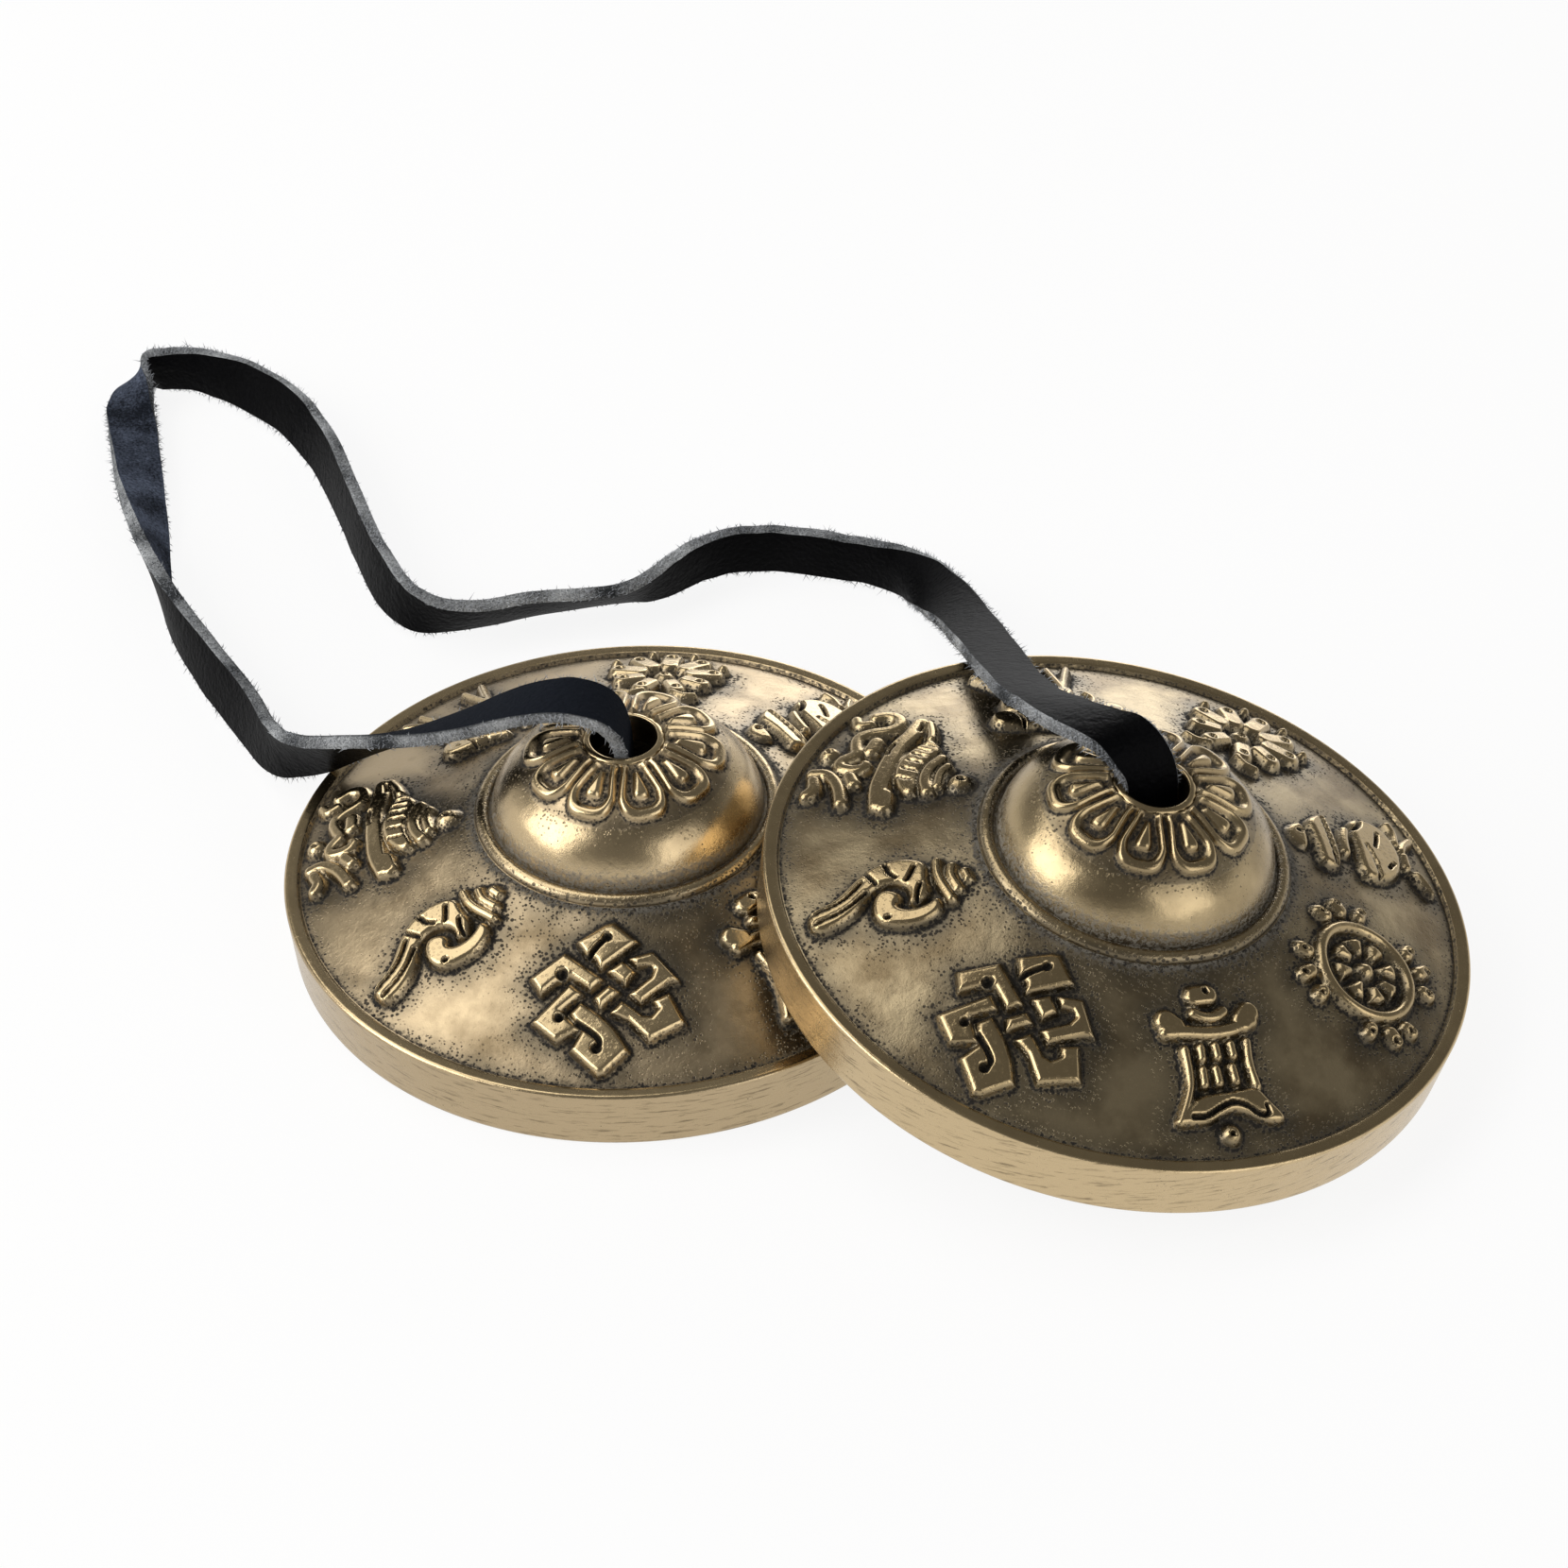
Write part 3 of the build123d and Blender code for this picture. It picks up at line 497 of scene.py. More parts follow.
def carve(u, v, symbol):
    """Height from 0 to 1, and how deep inside a shape and how far in a cut each point lies."""
    depth = np.full(u.shape, FAR_OUTSIDE)
    height = np.zeros(u.shape)
    swell = symbol.get("swell", SWELL)
    for points in symbol.get("pads", []):
        d = inside(u, v, points if symbol.get("crisp") else flow(points, True)) + swell
        depth = np.maximum(depth, d)
        height = np.maximum(height, rounded(d, PAD_EDGE))
    for width, points in symbol.get("bars", []):
        d = width / 2 + swell - to_runs(u, v, flow(points))
        depth = np.maximum(depth, d)
        height = np.maximum(height, rounded(d, min(width / 2 + swell, BAR_EDGE)))
    for cu, cv, radius in symbol.get("jewels", []):
        d = radius + swell - np.hypot(u - cu, v - cv)
        depth = np.maximum(depth, d)
        height = np.maximum(height, 1.1 * rounded(d, radius + swell))
    cut = np.zeros(u.shape)
    for width, points in symbol.get("cuts", []):
        cut = np.maximum(cut, rounded(width / 2 + 0.05 - to_runs(u, v, flow(points)), width * 0.55))
    for cu, cv, radius in symbol.get("pits", []):
        cut = np.maximum(cut, rounded(radius - np.hypot(u - cu, v - cv), radius * 0.7))
    return np.maximum(np.minimum(height, 1.1 - 0.95 * cut), 0), depth, cut


def coordinates(ring):
    """The mesh's points in millimetres."""
    flat = np.empty(len(ring.data.vertices) * 3)
    ring.data.vertices.foreach_get("co", flat)
    return flat.reshape(-1, 3) / MM


def keep(ring, points, **values):
    """Writes moved points back, and the named values as attributes of the mesh."""
    ring.data.vertices.foreach_set("co", (points * MM).ravel())
    for name, value in values.items():
        ring.data.attributes.new(name, "FLOAT", "POINT").data.foreach_set("value", value.astype(np.float32))
    ring.data.update()


print("shapes swell by", SWELL, "mm and round off over", PAD_EDGE, "mm")

# %% [markdown]
# The points of the field move square to its slope. The same distances also say where wax and patina would lie
# dark, just outside a shape and in its cuts, and where hands have polished the tops bright. A painted mask could
# say that, but attributes on the mesh always fit the relief. The bronze reads them.

# %% Raise the symbols
RELIEF, SYMBOL_RADIUS, SYMBOL_REACH = 1.0, 22.7, 10


def raise_symbols(part):
    """Lifts the points of one part of the field where the symbols lie, and notes where it is dark, rubbed or grimy."""
    points = coordinates(part)
    radius = np.hypot(points[:, 0], points[:, 1])
    top = (points[:, 2] > field_height(radius) - 0.05) & (radius > BEAD_RADIUS + 0.1) & (radius < field_radius - 0.1)
    lift, cuts, depth = np.zeros(len(points)), np.zeros(len(points)), np.full(len(points), FAR_OUTSIDE)
    for angle, symbol in SYMBOLS:
        a = math.radians(angle)
        u = points[:, 1] * math.cos(a) - points[:, 0] * math.sin(a)
        v = SYMBOL_RADIUS - points[:, 0] * math.cos(a) - points[:, 1] * math.sin(a)
        near = np.flatnonzero(top & (np.abs(u) < SYMBOL_REACH) & (np.abs(v) < SYMBOL_REACH))
        height, deep, cut = carve(u[near], v[near], symbol)
        lift[near] = np.maximum(lift[near], height)
        depth[near] = np.maximum(depth[near], deep)
        cuts[near] = np.maximum(cuts[near], cut)
    dark = np.where(depth < 0, 0.95 * band(depth, 0, 0.36), np.maximum(np.clip(0.95 - lift * 2.4, 0, 1), cuts))
    dark = np.maximum(dark, band(radius, BEAD_RADIUS, 0.9)) * top
    # painted shadow line along the field's outer edge, at the foot of the step up to the rim
    dark = np.maximum(dark, top * 0.8 * band(radius, field_radius, 0.5))
    grime = np.maximum(band(np.minimum(depth, 0), 0, 1.8), band(radius, BEAD_RADIUS, 2.8))
    grime = np.maximum(grime, 0.8 * band(radius, field_radius, 1.5)) * top
    bright = np.clip(lift * 2.5 - 1.2, 0, 1) * (1 - cuts)
    chalk = top * band(radius, BEAD_RADIUS, 0.7) * 0.6
    # the relief is low near the bead, so that a turning casting clears the rim that leans over it
    lift *= np.clip(0.4 + 0.19 * (radius - BEAD_RADIUS - SEAT_CLEARANCE), 0.2, RELIEF)
    normal = np.column_stack([points[:, :2] / radius[:, None] * field_slope, np.ones(len(points))])
    keep(part, points + normal * (lift / math.hypot(1, field_slope))[:, None], dark=dark, bright=bright, grime=grime,
         chalk=chalk)
    print(part.name, "relief up to", round(float(lift.max()), 2), "mm on", int((lift > 0.05).sum()), "points")


for part in fields:
    raise_symbols(part)

# %% [markdown]
# The lotus rosette round the hole has ten petals. Each has a broad raised border and a plump lobe in the middle,
# with a narrow dark groove between them. All three are drops with two blunt ends: the petal, the recess in it and
# the lobe in that. One petal could be sculpted and copied round, but it would leave seams on the round dome.

# %% Raise the rosette
PETALS, PETAL_RELIEF, BLUNT = 10, 0.62, 2.8
# root, its radius, belly and its radius, along the petal
PETAL, RECESS, LOBE = (4.4, 1.3, 7.1, 2.25), (4.7, 0.6, 6.8, 1.3), (5.0, 0.35, 6.8, 0.8)


def drop(along, across, root, root_radius, belly, belly_radius):
    """Distance inside a drop shape with two blunt round ends."""
    t = np.clip((along - root) / (belly - root), 0, 1)
    beyond = np.abs(along - root - (belly - root) * t)
    return root_radius + (belly_radius - root_radius) * t - (beyond ** BLUNT + np.abs(across) ** BLUNT) ** (1 / BLUNT)


points = coordinates(dome)
radius = np.hypot(points[:, 0], points[:, 1])
top = (points[:, 2] > dome_height(radius) - 0.05) & (radius < 10.4) & (radius > collar_radius + 0.05)
depth, recess, lobe = (np.full(len(points), FAR_OUTSIDE) for _ in range(3))
for index in range(PETALS):
    a = math.radians((index + 0.5) * 360 / PETALS)
    along = points[:, 0] * math.cos(a) + points[:, 1] * math.sin(a)
    across = points[:, 1] * math.cos(a) - points[:, 0] * math.sin(a)
    near = np.flatnonzero(top & (along > 2.5) & (np.abs(across) < 3.4))
    for inner, shape in ((depth, PETAL), (recess, RECESS), (lobe, LOBE)):
        inner[near] = np.maximum(inner[near], drop(along[near], across[near], *shape))
border = rounded(np.minimum(depth, -recess), 0.5)
lift = np.where(top, np.maximum(border, rounded(lobe, 0.55)), 0)
print("rosette raised", round(float(lift.max() * PETAL_RELIEF), 2), "mm")

# %% [markdown]
# On a used cymbal the dark stays in the recesses of the petals, round the collar and in the groove by the bead,
# and dry polish is left there too. The bead, the collar and the belly of the dome are rubbed bright by hands.
# These places are rings or follow the petals, so they are worked out from the radius.

# %% Mark the dome's dark and bright places
dark = np.where(depth < 0, band(depth, 0, 0.25), np.clip(0.8 - lift * 2, 0, 1)) * top
bright = np.where(top & (depth > 0), np.clip(lift * 2 - 0.6, 0, 1) * 0.8, 0)
outside = points[:, 2] > bead_foot - 0.2
dark = np.maximum(dark, outside * 0.75 * band(radius, DOME_RADIUS + 0.1, 0.4))
dark = np.maximum(dark, top * band(radius, collar_radius, 0.3) * 0.9)
chalk = outside * band(radius, DOME_RADIUS + 0.2, 0.55)
grime = outside * np.maximum(band(radius, BEAD_RADIUS, 1.6), 0.6 * band(radius, 9.6, 1.2))
bright = np.maximum(bright, outside * band(radius, BEAD_RADIUS - BEAD_WIDTH / 2, 0.4))
bright = np.maximum(bright, outside * np.where((radius > 9.8) & (radius < 12.3), 0.5, 0))
bright = np.maximum(bright, np.where((radius < collar_radius) & (points[:, 2] > collar_foot), 0.8, 0))
slope = DOME_HEIGHT / DOME_RADIUS * radius / DOME_RADIUS / np.sqrt(np.clip(1 - (radius / DOME_RADIUS) ** 2, 0.02, 1))
normal = np.column_stack([points[:, :2] / radius[:, None] * slope[:, None], np.ones(len(points))])
normal /= np.linalg.norm(normal, axis=1)[:, None]
keep(dome, points + normal * PETAL_RELIEF * lift[:, None], dark=dark, bright=bright, grime=grime, chalk=chalk)
print("dome marked on", len(points), "points")

# %% [markdown]
# The rim was turned on a lathe after casting: its side keeps fine streaks, its upper band is polished, and a
# painted shadow line darkens the step where the field begins.

# %% Mark the rim's groove, side and band
points = coordinates(rim)
radius = np.hypot(points[:, 0], points[:, 1])
# painted shadow line in the step between the field and the rim's band
groove = np.where(radius < field_radius + 0.2, 0.6, 0) * (points[:, 2] > RIM_HEIGHT - 0.6)
side = (radius > foot_radius - 0.1) * (points[:, 2] < RIM_HEIGHT - 0.1)
keep(rim, points, dark=groove, bright=np.where(side, 0.2, np.where(radius > field_radius + 0.2, 0.8, 0.3)),
     turned=side * 1.0)
print("rim marked, of it turned", int(side.sum()), "points")

# %% [markdown]
# Bell bronze is copper with about a fifth of tin: pale gold where it is rubbed, brown where it has tarnished and
# almost black where patina has settled. It was cast and then polished by hand, so to the eye it is satin metal
# with soft, broken highlights, fine pits and a cloudy tone, and the side of the rim shows the streaks of the
# lathe. A picture could be wrapped on it, but noise at the size of the real grit, steered by the attributes,
# holds at any distance.

# %% Bronze
def bronze(name, tilt, cast, rubbed, side, tarnish):
    """Cast bell bronze in the tones of its cast field, its rubbed tops and its turned side, with patina in the hollows.
    The lower tarnish is, the browner it gets, and tilt sets the streaks of the lathe square to the axis."""
    material, tree = new_material(name)
    place = add(tree, "TexCoord", pick="Object")
    dark = add(tree, "Attribute", pick="Fac", attribute_name="dark")
    bright = add(tree, "Attribute", pick="Fac", attribute_name="bright")
    grime = add(tree, "Attribute", pick="Fac", attribute_name="grime")
    turned = add(tree, "Attribute", pick="Fac", attribute_name="turned")
    chalk = add(tree, "Attribute", pick="Fac", attribute_name="chalk")
    # clouds of tarnish 8 mm across, hand-worked ripples of 3 mm and grit of 0.36 mm
    cloud = add(tree, "TexNoise", {"Vector": place, "Scale": 1 / (8 * MM), "Detail": 4.0, "Roughness": 0.6})
    ripple = add(tree, "TexNoise", {"Vector": place, "Scale": 1 / (3 * MM), "Detail": 2.0})
    grit = add(tree, "TexNoise", {"Vector": place, "Scale": 1 / (0.36 * MM), "Detail": 4.0, "Roughness": 0.7})
    # casting pits, 0.48 mm apart, which crowd together at the foot of the symbols and round the bead
    cells = add(tree, "TexVoronoi", {"Vector": place, "Scale": 1 / (0.48 * MM)})
    crowd = add(tree, "Math", {0: grime, 1: 0.45, 2: ripple}, operation="MULTIPLY_ADD")
    size = add(tree, "MapRange", {"Value": crowd, "From Min": 0.5, "From Max": 1.0, "To Min": 0.0, "To Max": 0.43})
    within = add(tree, "Math", {0: size, 1: cells}, operation="SUBTRACT")
    worn = add(tree, "MapRange", {"Value": bright, "To Min": 1.0, "To Max": 0.12})
    pits = add(tree, "MapRange", {"Value": within, "From Max": 0.12})
    specks = add(tree, "TexVoronoi", {"Vector": place, "Scale": 1 / (0.42 * MM)})
    specks = add(tree, "MapRange", {"Value": specks, "From Min": 0.16, "From Max": 0.28, "To Min": 0.9, "To Max": 0.0})
    dirty = add(tree, "Math", {0: grime, 1: 0.6, 2: cloud}, operation="MULTIPLY_ADD")
    sparse = add(tree, "MapRange", {"Value": dirty, "From Min": 0.56, "From Max": 0.9})
    specks = add(tree, "Math", {0: specks, 1: sparse}, operation="MULTIPLY")
    pits = add(tree, "Math", {0: pits, 1: specks}, operation="MAXIMUM")
    pits = add(tree, "Math", {0: pits, 1: worn}, operation="MULTIPLY")
    # patina fills the hollows with a gritty border, and the same dark paints a shadow line in the rim's step
    broken = add(tree, "Math", {0: grit, 1: 2.2, 2: dark}, operation="MULTIPLY_ADD")
    hollow = add(tree, "MapRange", {"Value": broken, "From Min": 1.4, "From Max": 2.0})
    patina_and_shade = add(tree, "Math", {0: pits, 1: 0.85, 2: hollow}, operation="MULTIPLY_ADD", use_clamp=True)
    # the metal: satin bronze, browner in the clouds, with grey-brown streaks where it was turned
    metal = add(tree, "Mix", {"Factor": bright, 6: linear(cast), 7: linear(rubbed)}, 2, data_type="RGBA")
    haze = add(tree, "MapRange", {"Value": cloud, "From Min": tarnish, "From Max": tarnish + 0.2, "To Max": 0.85})
    haze = add(tree, "Math", {0: haze, 1: worn}, operation="MULTIPLY")
    metal = add(tree, "Mix", {"Factor": haze, 6: metal, 7: linear("#6f5f46")}, 2, data_type="RGBA")
    # grey-brown smoke of old polish, thick near the symbols and the bead
    smoke = add(tree, "Math", {0: cloud, 1: 1.5}, operation="MULTIPLY")
    smoke = add(tree, "Math", {0: smoke, 1: grime}, operation="MULTIPLY")
    smoke = add(tree, "Math", {0: smoke, 1: worn}, operation="MULTIPLY", use_clamp=True)
    metal = add(tree, "Mix", {"Factor": smoke, 6: metal, 7: linear("#625a4b")}, 2, data_type="RGBA")
    metal = add(tree, "Mix", {"Factor": turned, 6: metal, 7: linear(side)}, 2, data_type="RGBA")
    fine = add(tree, "Mapping", {"Vector": place, "Rotation": (0, tilt, 0),
                                 "Scale": (1 / (3 * MM), 1 / (3 * MM), 1 / (0.28 * MM))})
    streak = add(tree, "TexNoise", {"Vector": fine, "Scale": 1.0, "Detail": 4.0, "Roughness": 0.65})
    lathe = add(tree, "MapRange", {"Value": streak, "From Min": 0.54, "From Max": 0.7, "To Max": 0.75})
    lathe = add(tree, "Math", {0: lathe, 1: turned}, operation="MULTIPLY")
    metal = add(tree, "Mix", {"Factor": lathe, 6: metal, 7: linear("#5d4f3a")}, 2, data_type="RGBA")
    colour = add(tree, "Mix", {"Factor": patina_and_shade, 6: metal, 7: linear("#1e1912")}, 2, data_type="RGBA")
    # pale polish dried in the groove round the dome
    dried = add(tree, "Math", {0: grit, 1: 0.5}, operation="GREATER_THAN")
    dried = add(tree, "Math", {0: dried, 1: chalk}, operation="MULTIPLY")
    dried = add(tree, "Math", {0: dried, 1: 0.65}, operation="MULTIPLY")
    colour = add(tree, "Mix", {"Factor": dried, 6: colour, 7: linear("#a39b8c")}, 2, data_type="RGBA")
    rough = add(tree, "MapRange", {"Value": patina_and_shade, "To Min": 0.29, "To Max": 0.8})
    rough = add(tree, "Math", {0: bright, 1: -0.09, 2: rough}, operation="MULTIPLY_ADD")
    solid = add(tree, "MapRange", {"Value": patina_and_shade, "To Min": 1.0, "To Max": 0.3})
    # the surface: pits go in, grit roughens the patina, ripples bend the reflections
    level = add(tree, "Math", {0: pits, 1: -0.5, 2: ripple}, operation="MULTIPLY_ADD")
    sand = add(tree, "Math", {0: grit, 1: worn}, operation="MULTIPLY")
    level = add(tree, "Math", {0: sand, 1: 0.35, 2: level}, operation="MULTIPLY_ADD")
    crust = add(tree, "Math", {0: grit, 1: chalk}, operation="MULTIPLY")
    level = add(tree, "Math", {0: crust, 1: 1.2, 2: level}, operation="MULTIPLY_ADD")
    bump = add(tree, "Bump", {"Height": level, "Strength": 0.5, "Distance": 0.16 * MM})
    shader = add(tree, "BsdfPrincipled", {"Base Color": colour, "Roughness": rough, "Metallic": solid, "Normal": bump})
    add(tree, "OutputMaterial", {"Surface": shader})
    return material


# both cymbals are one bronze: the right one's darker field and rubbed tones and the left one's darker turned side are
# painted shade
bronze_left = bronze("cast_bell_bronze_left", 0.0, "#b8a483", "#c0aa82", "#b39f7e", 0.46)
bronze_right = bronze("cast_bell_bronze_right", -lean, "#a89777", "#ab9670", "#c6b08a", 0.4)
print("bronze with", len(bronze_left.node_tree.nodes), "nodes")

# %% [markdown]
# Each part is copied twice, with its own mesh. The left cymbal lies flat, and the right one leans on the other's
# bead, turned by its own angle as in the picture. The place goes into the mesh and the object stays at the
# origin, so that the pattern of the bronze doesn't slide when the cymbals move.

# %% Set the two cymbals in place
def set_down(source, name, body, place, material):
    """A copy of a ring with its own mesh, put in place in the mesh, riding on its cymbal."""
    ring = bpy.data.objects.new(name, source.data.copy())
    scene.collection.objects.link(ring)
    ring.data.transform(place)
    ring.data.materials.clear()
    ring.data.materials.append(material)
    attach(ring, body)
    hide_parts(body)
    return ring


left_place = Matrix.Translation((left_x * MM, 0, 0)) @ Matrix.Rotation(math.radians(LEFT_TURN), 4, "Z")
right_place = Matrix.Translation(((left_x + spacing) * MM, 0, foot_radius * math.sin(lean) * MM))
right_place = right_place @ Matrix.Rotation(lean, 4, "Y") @ Matrix.Rotation(math.radians(RIGHT_TURN), 4, "Z")
for part in [dome, rim] + fields:
    set_down(part, "left_" + part.name, "left_cymbal", left_place, bronze_left)
    set_down(part, "right_" + part.name, "right_cymbal", right_place, bronze_right)
    bpy.data.objects.remove(part)
print("cymbals set down")

# %% [markdown]
# The strap is one flat strip of black leather, 5.2 mm wide, run through both holes and knotted inside the domes.
# A curve with a bevel could follow its route, but its twist can't be set point by point. So the route has a
# second line, which follows one cut edge: at every point the strip then knows which way it is turned. It lies
# flat, stands on its edge and twists as it does in the picture.

# %% Route of the strap
KNOT_CLEARANCE, EXIT_RISE = 0.6, 3.7
knot_top = hole_foot - KNOT_CLEARANCE


def on_right_axis(height):
    """A point on the leaning cymbal's axis, at that height above its foot."""
    return tuple(right_place @ Vector((0, 0, height * MM)) / MM)


ROUTE = [
    ((left_x, 0.0, knot_top), (0.3, -0.95, 0.0)), ((left_x, 0.0, knot_top + EXIT_RISE), (0.3, -0.95, 0.0)),
    ((-24.2, -1.0, 24.6), (0.3, -0.9, -0.1)), ((-27.9, -2.3, 25.8), (0.2, -0.93, -0.05)),
    ((-33.1, -1.6, 23.2), (0.15, -0.95, 0.12)), ((-39.3, -0.5, 18.6), (0.15, -0.9, 0.32)),
    ((-45.8, 0.8, 14.8), (0.2, -0.75, 0.55)), ((-51.8, 1.9, 11.6), (0.18, -0.6, 0.74)),
    ((-57.8, 4.0, 7.4), (0.15, -0.4, 0.9)), ((-62.9, 7.2, 4.3), (0.2, 0.0, 0.98)),
    ((-68.3, 13.2, 3.4), (0.26, 0.22, 0.94)), ((-75.0, 19.2, 3.3), (0.26, 0.22, 0.94)),
    ((-81.3, 25.4, 3.3), (0.1, 0.08, 0.99)), ((-85.9, 31.2, 3.3), (-0.15, -0.15, 0.97)),
    ((-90.3, 38.5, 3.0), (-0.58, -0.3, 0.77)), ((-95.4, 47.3, 2.2), (-0.8, -0.42, 0.35)),
    ((-100.1, 56.1, 1.6), (-0.88, -0.46, 0.1)), ((-103.4, 62.3, 1.9), (-0.85, -0.35, -0.35)),
    ((-103.2, 65.9, 2.8), (-0.5, 0.0, -0.85)), ((-100.2, 66.8, 3.3), (-0.1, 0.1, -0.98)),
    ((-96.4, 67.2, 3.4), (0.0, -0.1, -1.0)), ((-90.5, 66.0, 3.3), (-0.1, -0.4, -0.9)),
    ((-84.1, 62.6, 3.3), (-0.25, -0.43, -0.87)), ((-77.9, 56.7, 3.3), (-0.22, -0.2, -0.94)),
    ((-72.4, 49.4, 3.4), (-0.19, -0.14, -0.97)), ((-67.3, 42.2, 3.4), (-0.19, -0.14, -0.97)),
    ((-62.9, 36.7, 3.4), (-0.22, -0.2, -0.95)), ((-59.0, 33.3, 3.4), (-0.1, -0.1, -0.98)),
    ((-55.3, 33.0, 3.3), (-0.1, 0.4, -0.9)), ((-51.4, 34.8, 3.1), (-0.2, 0.55, -0.8)),
    ((-47.6, 37.8, 3.0), (-0.2, 0.56, -0.8)), ((-43.1, 40.2, 2.8), (-0.2, 0.66, -0.72)),
    ((-38.9, 42.4, 2.8), (-0.2, 0.7, -0.68)), ((-36.1, 44.7, 3.0), (0.0, 0.45, -0.87)),
    ((-34.1, 47.9, 3.4), (0.0, 0.2, -0.97)), ((-31.3, 51.2, 3.4), (0.0, 0.0, -1.0)),
    ((-27.0, 53.1, 3.4), (0.0, 0.0, -1.0)), ((-21.3, 53.6, 3.4), (0.0, 0.0, -1.0)),
    ((-15.8, 53.5, 3.5), (-0.05, 0.0, -1.0)), ((-11.0, 51.6, 4.3), (-0.3, -0.1, -0.95)),
    ((-5.9, 45.0, 7.6), (-0.75, -0.4, -0.55)), ((-0.4, 35.1, 12.6), (-0.93, -0.36, -0.1)),
    ((5.6, 23.1, 18.8), (-0.95, -0.3, 0.0)), ((11.5, 11.2, 25.2), (-0.95, -0.3, 0.1)),
    ((16.3, 4.6, 29.2), (-0.9, -0.4, 0.0)), ((20.4, 1.0, 31.2), (-0.8, -0.6, 0.0)),
    ((24.6, -0.2, 31.0), (-0.75, -0.66, 0.0)), (on_right_axis(knot_top + EXIT_RISE), (-0.75, -0.66, 0.0)),
    (on_right_axis(knot_top), (-0.75, -0.66, 0.0)),
]
STRAP_WIDTH, STRAP_THICKNESS = 5.2, 1.4


def nurbs_line(name, route):
    """Points read along a smooth NURBS line through the air, with the route's points as its control points."""
    curve = bpy.data.curves.new(name, "CURVE")
    curve.dimensions = "3D"
    spline = curve.splines.new("NURBS")
    spline.points.add(len(route) - 1)
    for control, place in zip(spline.points, route):
        control.co = (place[0] * MM, place[1] * MM, place[2] * MM, 1)
    spline.order_u = 3
    spline.use_endpoint_u = True
    spline.resolution_u = 10
    holder = bpy.data.objects.new(name, curve)
    scene.collection.objects.link(holder)
    bpy.context.view_layer.update()
    mesh = bpy.data.meshes.new_from_object(holder)
    line = np.array([vertex.co for vertex in mesh.vertices])
    bpy.data.objects.remove(holder)
    bpy.data.meshes.remove(mesh)
    return line


def unit(rows):
    """Each row at length one."""
    return rows / np.linalg.norm(rows, axis=1)[:, None]


middle = nurbs_line("strap_middle", [place for place, edge in ROUTE])
marked = nurbs_line("strap_marked_edge", [np.array(place) + np.array(edge) * STRAP_WIDTH / 2 for place, edge in ROUTE])
travel = unit(np.gradient(middle, axis=0))
across = marked - middle
across = unit(across - travel * (across * travel).sum(1)[:, None])
grain_way = np.cross(across, travel)
distance = np.concatenate([[0], np.cumsum(np.linalg.norm(np.diff(middle, axis=0), axis=1))])
print("strap", len(middle), "sections,", round(float(distance[-1]) / MM, 1), "mm long")

# %% [markdown]
# The strip's section is a flat bar whose grain side is a little crowned and whose cut edges are uneven, because
# such straps are cut by hand. Solidify would give an even edge, so the section is written out and set along the
# line. Three materials meet on it: smooth black grain, blue-grey suede on the flesh side, and the pale raw fibre
# of the cut edges.

# %% Leather strap
GRAIN_END, FLESH_START, FLESH_END = 10, 14, 24


def closed(name, verts, faces):
    """A closed mesh from its points and faces, as an object with its normals turned outwards."""
    mesh = bpy.data.meshes.new(name)
    mesh.from_pydata(verts, [], faces)
    made = bpy.data.objects.new(name, mesh)
    scene.collection.objects.link(made)
    deselect()
    bpy.context.view_layer.objects.active = made
    made.select_set(True)
    bpy.ops.object.mode_set(mode="EDIT")
    bpy.ops.mesh.select_all(action="SELECT")
    bpy.ops.mesh.normals_make_consistent(inside=False)
    bpy.ops.object.mode_set(mode="OBJECT")
    return made


def strip(name, line, side, wide, thick, wobble=0.13):
    """A flat strip of leather along a line, its width along side; grain, flesh and cut edges are three materials."""
    onward = unit(np.gradient(line, axis=0))
    side = unit(side - onward * (side * onward).sum(1)[:, None])
    face = np.cross(side, onward)
    half_w, half_t = wide / 2, thick / 2
    steps = np.linspace(1, -1, 11)
    section = [(half_w * 0.94 * s, half_t - 0.1 * s * s) for s in steps]
    section += [(-half_w * 0.985, half_t * 0.62), (-half_w, half_t * 0.1), (-half_w * 0.985, -half_t * 0.6)]
    section += [(-half_w * 0.95 * s, -half_t) for s in steps]
    section += [(half_w * 0.985, -half_t * 0.6), (half_w, half_t * 0.1), (half_w * 0.985, half_t * 0.62)]
    count, rows = len(section), len(line)
    rng = np.random.RandomState(7)
    spots = np.linspace(0, rows - 1, max(4, rows * 2 // 7))
    uneven = [np.interp(np.arange(rows), spots, rng.uniform(-wobble, wobble, len(spots))) for edge in range(2)]
    verts, faces, slots = [], [], []
    for k in range(rows):
        for a, b in section:
            out = a + (uneven[0][k] if a > 0 else -uneven[1][k]) * abs(a) / half_w
            verts.append(tuple(line[k] + (side[k] * out + face[k] * b) * MM))
    for k in range(rows - 1):
        for j in range(count):
            n = (j + 1) % count
            faces.append((k * count + j, k * count + n, (k + 1) * count + n, (k + 1) * count + j))
            slots.append(0 if j < GRAIN_END else 1 if FLESH_START <= j < FLESH_END else 2)
    faces += [tuple(reversed(range(count))), tuple(range((rows - 1) * count, rows * count))]
    made = closed(name, verts, faces)
    made.data.polygons.foreach_set("material_index", slots + [2, 2])
    bpy.ops.object.shade_smooth_by_angle(angle=math.radians(38))
    print(name, len(faces), "faces")
    return made


